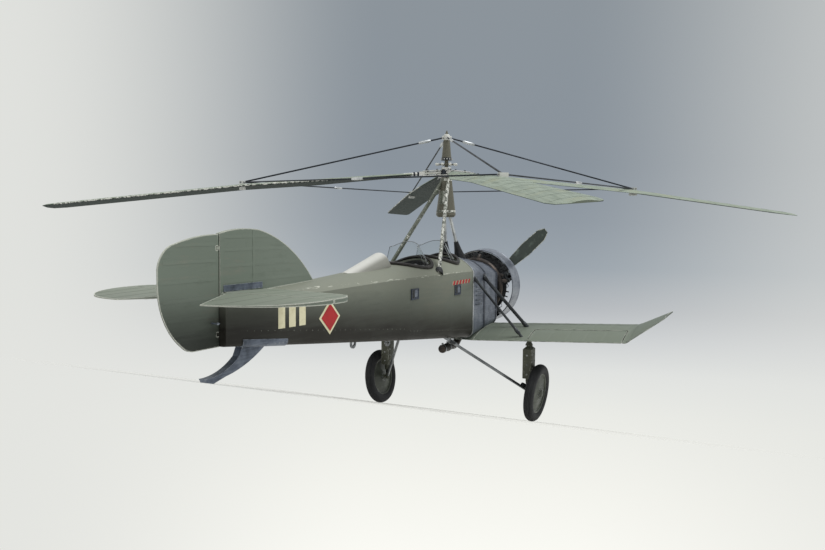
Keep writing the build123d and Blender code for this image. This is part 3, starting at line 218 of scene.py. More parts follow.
# Doped canvas and the dope-coloured sheet beside it: matt, faintly clouded and streaked along the machine,
# painted highlight where it faces the sky, painted shade near the belly and under the tail, chipped to a pale
# ground at its edges
def dopedCanvas(name, look):
    mat, tree, bsdf, where = startFinish(name)
    axes = add(tree, "SeparateXYZ", {0: where}).node
    flat = add(tree, "NewGeometry", out="Normal")
    cloud = noise(tree, where, look.get("cloud", 1.3), 4.0, 0.55)
    drawn = add(tree, "Mapping", {"Vector": where, "Scale": look.get("streak", (1.2, 9.0, 14.0))})
    streak = noise(tree, drawn, 1.0, 5.0, 0.6)
    mottle = noise(tree, where, 1 / 0.045, 8.0, 0.7)
    blend = combine(tree, "ADD", cloud, streak)
    grainy = combine(tree, "MULTIPLY_ADD", mottle, 0.3, blend)
    scaled = span(tree, grainy, 0.72, 1.58)
    tint = add(tree, "ValToRGB", {"Fac": scaled},
               [(0.0, look["grime"]), (1.0, look["faded"]), (0.42, look["paint"]), (0.6, look["paint"])])
    colour = tint
    # painted highlight: faces turned to the sky take the lighter top colour
    if "top" in look:
        facing = add(tree, "VectorMath", {0: flat, 1: tuple(rigUp)}, operation="DOT_PRODUCT")
        skyward = span(tree, facing, look.get("topFrom", 0.15), look.get("topFrom", 0.15) + 0.5, (0, 0.85),
                       soft=True)
        paintedHighlight = skyward
        if "crease" in look:
            # painted highlight: the side pales towards the longeron
            litUpperShare = span(tree, axes.outputs["Z"], look["crease"] - 0.30, look["crease"], (0, 0.5),
                         soft=True)
            paintedHighlight = combine(tree, "MAXIMUM", paintedHighlight, litUpperShare)
        colour = mixed(tree, paintedHighlight, colour, linear(look["top"]))
    if "bellyShade" in look:
        # painted shade: darker towards the belly line, by height above it, which rises towards the tail
        rise = combine(tree, "MULTIPLY_ADD", axes.outputs["X"], 0.1034, axes.outputs["Z"])
        low = span(tree, rise, look["bellyShadeTop"], look["bellyShadeLow"], soft=True)
        ragged = combine(tree, "MULTIPLY_ADD", streak, 0.5, 0.75)
        shadeShare = add(tree, "Math", {0: low, 1: ragged}, operation="MULTIPLY", use_clamp=True)
        colour = mixed(tree, shadeShare, colour, linear(look["bellyShade"]))
    flake = noise(tree, where, 1 / 0.06, 6.0, 0.75)
    if "chipFrom" in look:
        rounded = add(tree, "Bevel", {"Radius": look.get("chipWidth", 0.014)}, samples=6)
        along = add(tree, "VectorMath", {0: rounded, 1: flat}, operation="DOT_PRODUCT")
        edge = span(tree, along, 0.995, 0.90)
        bare = combine(tree, "MULTIPLY", edge, flake)
        chip = span(tree, bare, look["chipFrom"], look["chipFrom"] + 0.06)
        colour = mixed(tree, chip, colour, linear("#d5d8cd"))
    if "crease" in look:
        # paint rubbed off the longeron in short runs
        off = combine(tree, "COMPARE", axes.outputs["Z"], look["crease"], 0.013)
        run = add(tree, "Mapping", {"Vector": where, "Scale": (9.0, 9.0, 60.0)})
        rub = noise(tree, run, 1.0, 6.0, 0.7)
        lost = span(tree, rub, 0.57, 0.62)
        rubbed = combine(tree, "MULTIPLY", off, lost)
        colour = mixed(tree, rubbed, colour, linear("#ced0c4"))
    rough = span(tree, cloud, 0.3, 0.7, (look.get("rough", 0.55) - 0.1, look.get("rough", 0.55) + 0.12))
    bsdf.inputs["IOR"].default_value = 1.47  # cellulose dope
    # canvas threads are under a millimetre; drawn at 9 mm so that they show
    warp = add(tree, "TexWave", {"Vector": where, "Scale": 0.314 / 0.009, "Distortion": 0.6},
               bands_direction="X", out="Fac")
    weft = add(tree, "TexWave", {"Vector": where, "Scale": 0.314 / 0.009, "Distortion": 0.6},
               bands_direction="Z", out="Fac")
    cloth = combine(tree, "ADD", warp, weft)
    relief = combine(tree, "MULTIPLY_ADD", cloth, look.get("weave", 0.22), mottle)
    bump = add(tree, "Bump", {"Height": relief, "Strength": 0.2, "Distance": 0.002})
    feed(tree, bsdf, {"Base Color": colour, "Roughness": rough, "Specular IOR Level": 0.4, "Normal": bump})
    return mat


# Bare and painted metal: directional polish, cloudy oxide, oil stains, bright at worn edges,
# painted black shade inside the radius of a ring about the thrust line
def wornMetal(name, look):
    mat, tree, bsdf, where = startFinish(name)
    drawn = add(tree, "Mapping", {"Vector": where, "Scale": look.get("grain", (3.0, 60.0, 60.0))})
    brush = noise(tree, drawn, 1.0, 5.0, 0.6)
    stain = noise(tree, where, look.get("stain", 4.0), 7.0, 0.66)
    both = combine(tree, "MULTIPLY_ADD", brush, 0.4, stain)
    scaled = span(tree, both, 0.48, 0.92)
    tint = add(tree, "ValToRGB", {"Fac": scaled},
               [(0.0, look["dark"]), (1.0, look["light"]), (0.5, look["metal"])])
    rounded = add(tree, "Bevel", {"Radius": look.get("wearWidth", 0.008)}, samples=6)
    flat = add(tree, "NewGeometry", out="Normal")
    along = add(tree, "VectorMath", {0: rounded, 1: flat}, operation="DOT_PRODUCT")
    edge = span(tree, along, 0.995, 0.90)
    flake = noise(tree, where, 1 / 0.05, 6.0, 0.72)
    bare = combine(tree, "MULTIPLY", edge, flake)
    worn = span(tree, bare, look.get("wearFrom", 0.44), look.get("wearFrom", 0.44) + 0.08)
    flaked = flake
    if "rightFlakes" in look:
        # the legs on the right have more pale flecks than those on the left
        beside = add(tree, "SeparateXYZ", {0: where}).node
        right = combine(tree, "LESS_THAN", beside.outputs["Y"], 0.0)
        flaked = combine(tree, "MULTIPLY_ADD", right, look["rightFlakes"], flaked)
    patch = span(tree, flaked, look.get("flakeFrom", 0.9), look.get("flakeFrom", 0.9) + 0.03)
    lost = combine(tree, "MAXIMUM", worn, patch)
    colour = mixed(tree, lost, tint, linear(look["bright"]))
    # painted shade: black inside the ring's radius, where its inside lies in shadow
    if "innerShade" in look:
        axes = add(tree, "SeparateXYZ", {0: where}).node
        lift = combine(tree, "SUBTRACT", axes.outputs["Z"], look["innerShadeAxis"])
        away = add(tree, "VectorMath", {0: add(tree, "CombineXYZ", {0: axes.outputs["Y"], 1: lift})},
                   operation="LENGTH")
        inside = span(tree, away, look["innerShadeEdge"] + 0.004, look["innerShadeEdge"])
        colour = mixed(tree, inside, colour, linear(look["innerShade"]))
    rough = span(tree, both, 0.45, 0.95, (look["rough"] + 0.12, look["rough"] - 0.08))
    bump = add(tree, "Bump", {"Height": both, "Strength": 0.15, "Distance": 0.0015})
    feed(tree, bsdf, {"Base Color": colour, "Roughness": rough, "Metallic": look["metallic"],
                      "Normal": bump})
    return mat


# Varnished and doped rotor blade: sage on top with slanted brush strokes, painted shade in dark green below,
# chipped white all along the leading edge
def bladeDope(name, azimuth):
    # under is the painted shade of the blade's underside
    look = {"sage": "#99a597", "straw": "#959a80", "shade": "#7f8b7d", "under": "#323c39",
            "chip": "#e3e5de"}
    mat, tree, bsdf, where = startFinish(name, azimuth)
    axes = add(tree, "SeparateXYZ", {0: where}).node
    slanted = add(tree, "Mapping", {"Vector": where, "Rotation": (0, 0, math.radians(28)),
        "Scale": (3.0, 34.0, 3.0)})
    stroke = noise(tree, slanted, 1.0, 5.0, 0.6)
    patchy = noise(tree, where, 3.2, 5.0, 0.6)
    brush = add(tree, "ValToRGB", {"Fac": stroke}, [(0.36, look["shade"]), (0.6, look["sage"])])
    yellow = span(tree, patchy, 0.52, 0.68, (0, 0.6))
    top = mixed(tree, yellow, brush, linear(look["straw"]))
    # which side faces up is read from the surface itself
    facing = add(tree, "VectorMath", {0: add(tree, "NewGeometry", out="Normal"), 1: tuple(rigUp)},
                 operation="DOT_PRODUCT")
    litUpperShare = span(tree, facing, -0.1, 0.1)
    # painted shade: the side facing down takes the dark under colour
    sides = mixed(tree, litUpperShare, linear(look["under"]), top)
    lead = span(tree, axes.outputs["Y"], 0.045, 0.10)
    flake = noise(tree, where, 1 / 0.045, 7.0, 0.78)
    bare = combine(tree, "MULTIPLY", lead, flake)
    chip = span(tree, bare, 0.40, 0.46)
    colour = mixed(tree, chip, sides, linear(look["chip"]))
    rough = span(tree, stroke, 0, 1, (0.42, 0.66))
    # the underside is dull, so that it stays dark when it is seen at a grazing angle
    shine = span(tree, litUpperShare, 0, 1, (0.03, 0.4))
    bump = add(tree, "Bump", {"Height": stroke, "Strength": 0.15, "Distance": 0.002})
    feed(tree, bsdf, {"Base Color": colour, "Roughness": rough, "IOR": 1.48, "Specular IOR Level": shine,
                      "Normal": bump})
    return mat


# Black vulcanised rubber: dusty, matt, with fine scuffs
def tyreRubber():
    mat, tree, bsdf, where = startFinish("tyreRubber")
    dust = noise(tree, where, 5.0, 7.0, 0.7)
    tint = add(tree, "ValToRGB", {"Fac": dust}, [(0.35, "#15171b"), (0.75, "#2c2d2e")])
    scuff = noise(tree, where, 1 / 0.006, 3.0)
    bump = add(tree, "Bump", {"Height": scuff, "Strength": 0.25, "Distance": 0.001})
    feed(tree, bsdf, {"Base Color": tint, "Normal": bump, "Roughness": 0.72, "IOR": 1.52})
    return mat


# Dyed hide: pebbled grain, soft sheen, polished and paler where it is rubbed
def darkHide(name, dark, rubbed):
    mat, tree, bsdf, where = startFinish(name)
    pebble = add(tree, "TexVoronoi", {"Vector": where, "Scale": 1 / 0.007}, feature="SMOOTH_F1")
    rub = noise(tree, where, 7.0, 4.0)
    tint = add(tree, "ValToRGB", {"Fac": rub}, [(0.35, dark), (0.7, rubbed)])
    rough = span(tree, rub, 0, 1, (0.58, 0.36))
    bump = add(tree, "Bump", {"Height": pebble, "Strength": 0.3, "Distance": 0.0012})
    feed(tree, bsdf, {"Base Color": tint, "Roughness": rough, "Normal": bump, "IOR": 1.5})
    return mat


# Cast acrylic sheet: clear, faintly hazed with fine scratches
def clearAcrylic():
    mat, tree, bsdf, where = startFinish("clearAcrylic")
    haze = noise(tree, where, 6.0, 6.0, 0.7)
    rough = span(tree, haze, 0.35, 0.75, (0.01, 0.1))
    bsdf.inputs["Base Color"].default_value = linear("#f4f6f5")
    bsdf.inputs["IOR"].default_value = 1.1  # thin bent sheet: less bend than the solid so that it stays clear
    feed(tree, bsdf, {"Roughness": rough, "Transmission Weight": 1.0})
    return mat


# Flat oil paint brushed on over the dope: chalky, with bare flecks
def signPaint(name, paint, shade):
    mat, tree, bsdf, where = startFinish(name)
    chalk = noise(tree, where, 1 / 0.09, 7.0, 0.7)
    tint = add(tree, "ValToRGB", {"Fac": chalk}, [(0.3, shade), (0.55, paint)])
    rough = span(tree, chalk, 0, 1, (0.45, 0.75))
    bump = add(tree, "Bump", {"Height": chalk, "Strength": 0.1, "Distance": 0.001})
    feed(tree, bsdf, {"Base Color": tint, "Roughness": rough, "Normal": bump, "IOR": 1.48})
    return mat


# Woven cotton webbing: ribbed across, dusty
def cottonWebbing():
    mat, tree, bsdf, where = startFinish("cottonWebbing")
    rib = add(tree, "TexWave", {"Vector": where, "Scale": 0.314 / 0.006, "Distortion": 0.8},
              bands_direction="Y", out="Fac")
    dust = noise(tree, where, 1 / 0.05, 5.0)
    tint = add(tree, "ValToRGB", {"Fac": dust}, [(0.3, "#6f6a58"), (0.7, "#8f8972")])
    bump = add(tree, "Bump", {"Height": rib, "Strength": 0.4, "Distance": 0.001})
    feed(tree, bsdf, {"Base Color": tint, "Normal": bump, "Roughness": 0.9})
    return mat


canvases = {
    # in each canvas, top is a painted highlight on faces turned to the sky, white on the headrest, and the
    # dark belly colour is painted shade
    "bodyCanvas": {"paint": "#696f65", "faded": "#77786c", "grime": "#565c53", "top": "#888c7f",
                   "bellyShade": "#201e18", "bellyShadeTop": 2.0, "bellyShadeLow": 1.42, "crease": 2.378},
    "headEnamel": {"paint": "#8d8e87", "faded": "#a09f98", "grime": "#74756e", "top": "#e0e1dc",
                   "topFrom": 0.5, "weave": 0.02, "rough": 0.4},
    "wingCanvas": {"paint": "#565e55", "faded": "#687064", "grime": "#434940", "top": "#7c8578",
                   "streak": (9.0, 1.4, 9.0), "chipFrom": 0.44},
    "tailCanvas": {"paint": "#747f74", "faded": "#868478", "grime": "#5e685d", "top": "#8f9789",
                   "bellyShade": "#2a2f29", "bellyShadeTop": 2.05, "bellyShadeLow": 1.3, "chipFrom": 0.3, "chipWidth": 0.024},
    "wingTape": {"paint": "#59615a", "faded": "#6a7267", "grime": "#474d45", "top": "#7f887b",
                 "streak": (9.0, 1.4, 9.0)},
    "tailTape": {"paint": "#768176", "faded": "#88867b", "grime": "#606a60", "top": "#91998b",
                 "bellyShade": "#2a2f29", "bellyShadeTop": 2.05, "bellyShadeLow": 1.3},
    "mastEnamel": {"paint": "#67665a", "faded": "#7a7868", "grime": "#4a4a40", "weave": 0.02,
                   "rough": 0.46},
    "legEnamel": {"paint": "#4e5044", "faded": "#626454", "grime": "#33352e", "weave": 0.02, "rough": 0.48,
                  "chipFrom": 0.5},
    "propDope": {"paint": "#434d48", "faded": "#75827a", "grime": "#2b3230", "streak": (9.0, 9.0, 9.0),
                 "cloud": 6.0, "weave": 0.02, "rough": 0.42, "chipFrom": 0.42},
}
# columns: metal, its dark and light clouds, worn edges, roughness, metallic, and what else sets it apart
metals = {
    "bayMetal": ("#727986", "#535964", "#8d949f", "#aab0b8", 0.44, 0.55, {}),
    "bayFrame": ("#3b4250", "#272c36", "#4f5766", "#7d8592", 0.46, 0.5, {}),
    # the ring's inside is painted black as shade
    "ringMetal": ("#7e848f", "#5f6570", "#999fa8", "#dcdfe1", 0.36, 0.5,
                  {"innerShade": "#0d0e10", "innerShadeAxis": 2.021, "innerShadeEdge": 0.618}),
    "strutSteel": ("#34373a", "#1f2225", "#4c5052", "#c9ccc9", 0.4, 0.6, {"flakeFrom": 0.66}),
    "rearLegEnamel": ("#666b60", "#454a41", "#838a7c", "#dfe1da", 0.48, 0.1,
                      {"flakeFrom": 0.6, "rightFlakes": 0.12}),
    "brightTube": ("#c3c7c9", "#82878b", "#e4e6e6", "#f2f3f2", 0.3, 0.7, {}),
    "plainSteel": ("#7d8083", "#55585b", "#a0a3a5", "#cfd1d1", 0.36, 0.9, {}),
    "whiteEnamel": ("#d8dad5", "#adb0aa", "#e9eae6", "#f2f3f0", 0.42, 0.1, {}),
    "cableSteel": ("#262b33", "#191d22", "#3a4049", "#555c65", 0.45, 0.6, {}),
    "shoeSteel": ("#646d7c", "#3d434c", "#858d9a", "#aeb4bc", 0.42, 0.55, {}),
    "exhaustSteel": ("#3d3937", "#212123", "#5a5049", "#7b7672", 0.5, 0.8, {"stain": 7.0}),
    "castIron": ("#2e3134", "#1a1c1e", "#45494b", "#7b7f80", 0.55, 0.6, {"stain": 12.0}),
    "castAlloy": ("#7f8587", "#585d60", "#a2a7a8", "#c3c6c6", 0.46, 0.8, {"stain": 9.0}),
    "wheelEnamel": ("#4e5349", "#343831", "#666b60", "#b9bcb2", 0.46, 0.1, {}),
    "seatAlloy": ("#5c615a", "#3e423c", "#787d73", "#b8bbb4", 0.5, 0.35, {}),
    "panelBlack": ("#1d1f22", "#121315", "#2d3034", "#6d7072", 0.58, 0.05, {"stain": 30.0}),
}
finishes = {name: dopedCanvas(name, look) for name, look in canvases.items()}
for name, (metal, dark, light, bright, rough, metallic, more) in metals.items():
    look = {"metal": metal, "dark": dark, "light": light, "bright": bright, "rough": rough,
            "metallic": metallic}
    finishes[name] = wornMetal(name, {**look, **more})
finishes.update({
    "tyreRubber": tyreRubber(),
    "coamingHide": darkHide("coamingHide", "#161413", "#2c2724"),
    "cushionHide": darkHide("cushionHide", "#33271e", "#574231"),
    "clearAcrylic": clearAcrylic(),
    "creamPaint": signPaint("creamPaint", "#e6e2c0", "#cfc9a4"),
    "redPaint": signPaint("redPaint", "#b3262a", "#8f1c20"),
    "cottonWebbing": cottonWebbing(),
})

bladeAzimuth = math.radians(36.6)
bladeCount = 4
wears = {
    "bodyCanvas": ("side_left", "side_right", "rear_fuselage", "rear_bulkhead", "cockpit_deck",
                   "belly_panel"),
    "headEnamel": ("headrest_fairing",),
    "wingCanvas": ("wing_centre", "wing_left", "wing_right", "aileron_left", "aileron_right"),
    "tailCanvas": ("fin", "rudder", "stabiliser", "elevator"),
    "mastEnamel": ("pylon_fairing", "king_post"),
    "legEnamel": ("gear_leg_left", "gear_leg_right"),
    "bayMetal": ("engine_bay", "firewall", "step_flaps"),
    "ringMetal": ("ring_cowl",),
    "strutSteel": ("wing_struts_left", "wing_struts_right"),
    "rearLegEnamel": ("pylon_rear_legs",),
    "brightTube": ("pylon_front_legs",),
    "plainSteel": ("rotor_spindle", "tiedown_lugs", "control_columns", "drag_strut_left",
                   "drag_strut_right"),
    "whiteEnamel": ("rotor_hub", "stay_clamps"),
    "cableSteel": ("rotor_stays", "lag_cables"),
    "shoeSteel": ("skid_bracket", "tail_skid", "fin_root_plates"),
    "exhaustSteel": ("exhaust",),
    "castIron": ("engine_cylinders",),
    "castAlloy": ("crankcase",),
    "wheelEnamel": ("wheel_left", "wheel_right"),
    "seatAlloy": ("seats", "cockpit_floor"),
    "panelBlack": ("instrument_panels",),
    "tyreRubber": ("tyre_left", "tyre_right"),
    "coamingHide": ("coamings",),
    "cushionHide": ("seat_cushions",),
    "clearAcrylic": ("windscreens",),
    "propDope": ("propeller",),
}
dressed = {name: finishes[finish] for finish, names in wears.items() for name in names}
for i in range(bladeCount):
    azimuth = bladeAzimuth + i * math.tau / bladeCount
    finish = "bladeDope%d" % (i + 1)
    finishes[finish] = bladeDope(finish, azimuth)
    dressed["rotor_blade_%d" % (i + 1)] = finishes[finish]
for name, obj in nodes.items():
    obj.data.materials.clear()
    obj.data.materials.append(dressed[name])
print("finishes on", len(dressed), "nodes")


# Pieces are drawn in the level axes and turned into the parked frame once, as they are finished
def newPiece(name, bm, finish, body, crease=38.0):
    bmesh.ops.recalc_face_normals(bm, faces=bm.faces)
    bm.transform(rigToParked)
    mesh = bpy.data.meshes.new(name)
    bm.to_mesh(mesh)
    bm.free()
    mesh.shade_smooth()
    mesh.set_sharp_from_angle(angle=math.radians(crease))
    mesh.materials.append(finishes[finish])
    piece = bpy.data.objects.new(name, mesh)
    scene.collection.objects.link(piece)
    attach(piece, body)
    return piece


# the surface of some nodes, in the level axes, for laying sheets and setting rivets
def skinOf(*names):
    bm = bmesh.new()
    for name in names:
        bm.from_mesh(nodes[name].data)
    bm.transform(parkedToRig)
    tree = BVHTree.FromBMesh(bm)
    bm.free()
    return tree


def aimed(at, way):
    return Matrix.Translation(at) @ Vector(way).to_track_quat("Z", "Y").to_matrix().to_4x4()


def rod(bm, a, b, radius, sides=12, end=None):
    a, b = Vector(a), Vector(b)
    bmesh.ops.create_cone(bm, cap_ends=True, segments=sides, radius1=radius,
                          radius2=radius if end is None else end,
                          depth=(b - a).length, matrix=aimed((a + b) / 2, b - a))


def turned(bm, profile, seat, steps=24):
    before = set(bm.verts)
    chain = [bm.verts.new((r, 0, h)) for r, h in profile]
    edges = [bm.edges.new(pair) for pair in zip(chain, chain[1:])]
    bmesh.ops.spin(bm, geom=chain + edges, axis=(0, 0, 1), angle=math.tau, steps=steps, use_merge=True)
    bmesh.ops.remove_doubles(bm, verts=[v for v in bm.verts if v not in before], dist=1e-5)
    bmesh.ops.transform(bm, matrix=seat, verts=[v for v in bm.verts if v not in before])


# a bolt head on its washer; size is the width across flats
def bolt(bm, at, way, size):
    out = Vector(way).normalized() * size
    for low, high, foot, top, sides in ((0, 0.15, 0.9, 0.9, 12), (0.15, 0.65, 0.58, 0.58, 6),
            (0.65, 0.75, 0.58, 0.46, 6)):
        rod(bm, Vector(at) + out * low, Vector(at) + out * high, foot * size, sides, top * size)


def spread(count, radius=1, height=0, start=0.0):
    turns = [math.tau * (k + start) / count for k in range(count)]
    return [Vector((radius * math.cos(turn), radius * math.sin(turn), height)) for turn in turns]


def rivet(bm, at, way, size):
    bmesh.ops.create_uvsphere(bm, u_segments=8, v_segments=4, radius=size,
                              matrix=aimed(at, way) @ Matrix.Diagonal((1, 1, 0.55, 1)))


# a block with rounded edges, its faces along the axes of the seat
def block(bm, seat, size, bevel=0.004):
    made = bmesh.ops.create_cube(bm, size=1.0, matrix=seat @ Matrix.Diagonal((*size, 1)))["verts"]
    edges = list({e for v in made for e in v.link_edges})
    bmesh.ops.bevel(bm, geom=edges, offset=bevel, segments=2, profile=0.5, affect="EDGES", material=-1)


# a thin sheet laid on a skin: each point of a grid is dropped along its ray, and stands a little proud
def sheetOn(bm, skin, cells, ray, lift=0.002, thick=0.0015):
    made = bmesh.ops.create_grid(bm, x_segments=cells[0], y_segments=cells[1], size=0.5)["verts"]
    faces = list({f for v in made for f in v.link_faces})
    missed = []
    for v in made:
        start, way = ray(v.co.x + 0.5, v.co.y + 0.5)
        spot, normal, _, _ = skin.ray_cast(Vector(start), Vector(way))
        if spot is None:
            missed.append(v)
            continue
        out = -normal if normal.dot(way) > 0 else normal
        v.co = spot + out * lift
    if missed:
        bmesh.ops.delete(bm, geom=missed, context="VERTS")
        faces = [f for f in faces if f.is_valid]
    bmesh.ops.recalc_face_normals(bm, faces=faces)
    bmesh.ops.solidify(bm, geom=faces, thickness=thick)


def studs(bm, skin, rays, size, kind=rivet):
    for start, way in rays:
        spot, normal, _, _ = skin.ray_cast(Vector(start), Vector(way))
        if spot is not None:
            out = -normal if normal.dot(way) > 0 else normal
            kind(bm, spot, out, size)


# a flat strap along a path, from edge to edge of its width
def ribbon(bm, path, width, thick=0.0025):
    half = Vector(width) / 2
    chain = [bm.verts.new(Vector(p) - half) for p in path]
    edges = [bm.edges.new(pair) for pair in zip(chain, chain[1:])]
    made = bmesh.ops.extrude_edge_only(bm, edges=edges)["geom"]
    bmesh.ops.translate(bm, vec=half * 2, verts=[g for g in made if isinstance(g, bmesh.types.BMVert)])
    faces = [g for g in made if isinstance(g, bmesh.types.BMFace)]
    bmesh.ops.solidify(bm, geom=faces, thickness=thick)


# a round tube along a smooth curve through its control points
def tube(bm, points, radius, closed=False, sides=2):
    curve = bpy.data.curves.new("route", "CURVE")
    curve.dimensions, curve.use_fill_caps = "3D", True
    curve.bevel_depth, curve.bevel_resolution = radius, sides
    line = curve.splines.new("NURBS")
    line.points.add(len(points) - 1)
    for point, at in zip(line.points, points):
        point.co = (*at, 1.0)
    line.order_u, line.resolution_u = 3, 6
    line.use_cyclic_u, line.use_endpoint_u = closed, not closed
    holder = bpy.data.objects.new("route", curve)
    scene.collection.objects.link(holder)
    graph = bpy.context.evaluated_depsgraph_get()
    mesh = bpy.data.meshes.new_from_object(holder.evaluated_get(graph))
    bm.from_mesh(mesh)
    bpy.data.objects.remove(holder)
    bpy.data.curves.remove(curve)
    bpy.data.meshes.remove(mesh)


# replaces a piece's mesh by what its modifiers make of it
def settle(piece):
    graph = bpy.context.evaluated_depsgraph_get()
    fresh = bpy.data.meshes.new_from_object(piece.evaluated_get(graph))
    stale = piece.data
    piece.modifiers.clear()
    piece.data = fresh
    bpy.data.meshes.remove(stale)


# Padded hide: the solid's own shape, rounded off, blown up a little as cloth, and sewn down along its seams
def swell(node, name, finish, look):
    bm = bmesh.new()
    bm.from_mesh(nodes[node].data)
    bmesh.ops.remove_doubles(bm, verts=bm.verts, dist=0.0004)
    bmesh.ops.recalc_face_normals(bm, faces=bm.faces)
    mesh = bpy.data.meshes.new(name)
    bm.to_mesh(mesh)
    bm.free()
    piece = bpy.data.objects.new(name, mesh)
    scene.collection.objects.link(piece)
    grid = piece.modifiers.new("grid", "REMESH")
    grid.mode, grid.voxel_size = "VOXEL", look["voxel"]
    settle(piece)
    bm = bmesh.new()
    bm.from_mesh(piece.data)
    for _ in range(look["soften"]):
        bmesh.ops.smooth_vert(bm, verts=bm.verts, factor=0.5, use_axis_x=True, use_axis_y=True,
                              use_axis_z=True)
    bm.to_mesh(piece.data)
    bm.free()
    rest = [v.co.copy() for v in piece.data.vertices]
    cloth = piece.modifiers.new("cloth", "CLOTH")
    cloth.settings.use_pressure = True
    cloth.settings.uniform_pressure_force = 4.0
    cloth.settings.effector_weights.gravity = 0.0
    cloth.point_cache.frame_start, cloth.point_cache.frame_end = 1, look["frames"]
    for step in range(1, look["frames"] + 1):
        scene.frame_set(step)
    settle(piece)
    for v, start in zip(piece.data.vertices, rest):
        move = v.co - start
        v.co = start + move * min(1.0, look["most"] / max(move.length, 1e-9))
    scene.frame_set(1)
    for v in piece.data.vertices:
        side = (parkedToRig @ v.co).y
        if v.normal.dot(rigUp) > 0.4:
            dip = sum(math.exp(-(((side - seam) / 0.008) ** 2)) for seam in look["seams"])
            v.co -= rigUp * look["dip"] * dip
    piece.data.materials.clear()
    piece.data.materials.append(finishes[finish])
    piece.data.shade_smooth()
    smooth = piece.modifiers.new("smooth", "SUBSURF")
    smooth.levels = smooth.render_levels = 1
    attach(piece, "airframe")
    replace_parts(piece, node)


swell("coamings", "coamingRolls", "coamingHide",
      {"voxel": 0.010, "soften": 6, "frames": 12, "most": 0.008, "seams": (), "dip": 0.0, "fill": 0.8})
swell("seat_cushions", "seatPads", "cushionHide",
      {"voxel": 0.008, "soften": 5, "frames": 16, "most": 0.012, "seams": (-0.114, -0.038, 0.038, 0.114),
       "dip": 0.010, "fill": 0.6})
print("soft pieces made")

# Both cockpits: where each begins, its seat, and the heights of its floor, seat pan and seat back
floorLift, panLift, padThick, backLift = 0.165, 0.240, 0.070, 0.460


def bellyAt(x):
    return 1.321 + 0.1034 * (0.020 - x)


cockpits = []
for front, seatX in ((-0.040, -0.560), (-0.990, -1.690)):
    pan = bellyAt(seatX) + floorLift + panLift
    cockpits.append({"front": front, "seat": seatX, "pan": pan, "pad": pan + padThick,
                     "back": pan + backLift})

# Windscreen edging: a steel bead along the arched top of each screen, worked out as the screen is cut
screen = {"openRadius": 0.330, "baseRadius": 0.351, "topRadius": 0.187, "baseZ": 2.445, "topZ": 2.848,
          "lean": 0.140, "archHalf": 0.350, "bead": 0.0045, "points": 48, "wrap": math.radians(92)}


def screenEdge(front, look):
    rise = look["topZ"] - look["baseZ"]
    archRadius = (look["archHalf"] ** 2 + rise ** 2) / (2 * rise)
    archCentre = look["topZ"] - archRadius
    base = Vector((front - look["openRadius"], 0, look["baseZ"]))
    top = Vector((base.x - look["lean"], 0, look["topZ"]))
    path = []
    for k in range(look["points"] + 1):
        turn = look["wrap"] * (2 * k / look["points"] - 1)
        out = Vector((math.cos(turn), math.sin(turn), 0))
        low, high = base + out * look["baseRadius"], top + out * look["topRadius"]
        inside, outside = 0.0, 1.0
        for _ in range(20):
            share = (inside + outside) / 2
            at = low.lerp(high, share)
            if math.hypot(at.y, at.z - archCentre) < archRadius:
                inside = share
            else:
                outside = share
        path.append(low.lerp(high, inside))
    return path


bm = bmesh.new()
for pit in cockpits:
    tube(bm, screenEdge(pit["front"], screen), screen["bead"])
newPiece("screenBeads", bm, "plainSteel", "airframe")

# Instrument panels: dials with bezels, ticks and a needle each, and a row of switches
dialRows = ((0.0, 2.462, 0.050), (-0.122, 2.452, 0.045), (0.122, 2.452, 0.045), (-0.235, 2.425, 0.040),
            (0.235, 2.425, 0.040),
            (-0.062, 2.352, 0.036), (0.062, 2.352, 0.036), (-0.160, 2.340, 0.034), (0.160, 2.340, 0.034))
panelSetback = 0.0705
dial = {"ticks": 12, "tick": (0.007, 0.0016, 0.001), "tickIn": 0.013, "tickLift": 0.0042,
        "needleLift": 0.0055, "needleStart": 0.9, "needleStep": 1.7, "screwOut": 0.011, "screw": 0.0035}
switches = {"count": 5, "y": 0.215, "pitch": 0.032, "z": 2.345}
bezels, faces, ticks = bmesh.new(), bmesh.new(), bmesh.new()
for pit in cockpits:
    plane = pit["front"] - panelSetback
    for number, (y, z, radius) in enumerate(dialRows):
        seat = aimed((plane, y, z), (-1, 0, 0))
        turned(bezels, [(radius - 0.007, 0.0), (radius - 0.007, 0.010), (radius - 0.003, 0.013),
                        (radius + 0.003, 0.011),
                        (radius + 0.006, 0.004), (radius + 0.006, 0.0)], seat, 28)
        turned(faces, [(0.0, 0.004), (radius - 0.007, 0.003), (radius - 0.007, 0.0)], seat, 28)
        for k in range(dial["ticks"]):
            spot = seat @ Matrix.Rotation(k * math.tau / dial["ticks"], 4, "Z")
            block(ticks, spot @ Matrix.Translation((radius - dial["tickIn"], 0, dial["tickLift"])),
                  dial["tick"], 0.0002)
        point = seat @ Matrix.Rotation(dial["needleStart"] + number * dial["needleStep"], 4, "Z")
        point = point @ Matrix.Translation((radius * 0.25, 0, dial["needleLift"]))
        block(ticks, point, (radius * 0.9, 0.0026, 0.0012), 0.0003)
        rivet(ticks, seat @ Vector((0, 0, 0.006)), (-1, 0, 0), 0.0035)
        for at in spread(4, radius + dial["screwOut"], start=0.5):
            rivet(bezels, seat @ at, (-1, 0, 0), dial["screw"])
    for k in range(switches["count"]):
        y, z = switches["y"] + k * switches["pitch"], switches["z"]
        rod(bezels, (plane, y, z), (plane - 0.006, y, z), 0.010, 8)
        rod(bezels, (plane - 0.006, y, z), (plane - 0.026, y, z + 0.008), 0.0035, 8, 0.0045)
newPiece("dialBezels", bezels, "plainSteel", "airframe")
newPiece("dialFaces", faces, "panelBlack", "airframe")
newPiece("dialMarks", ticks, "creamPaint", "airframe")

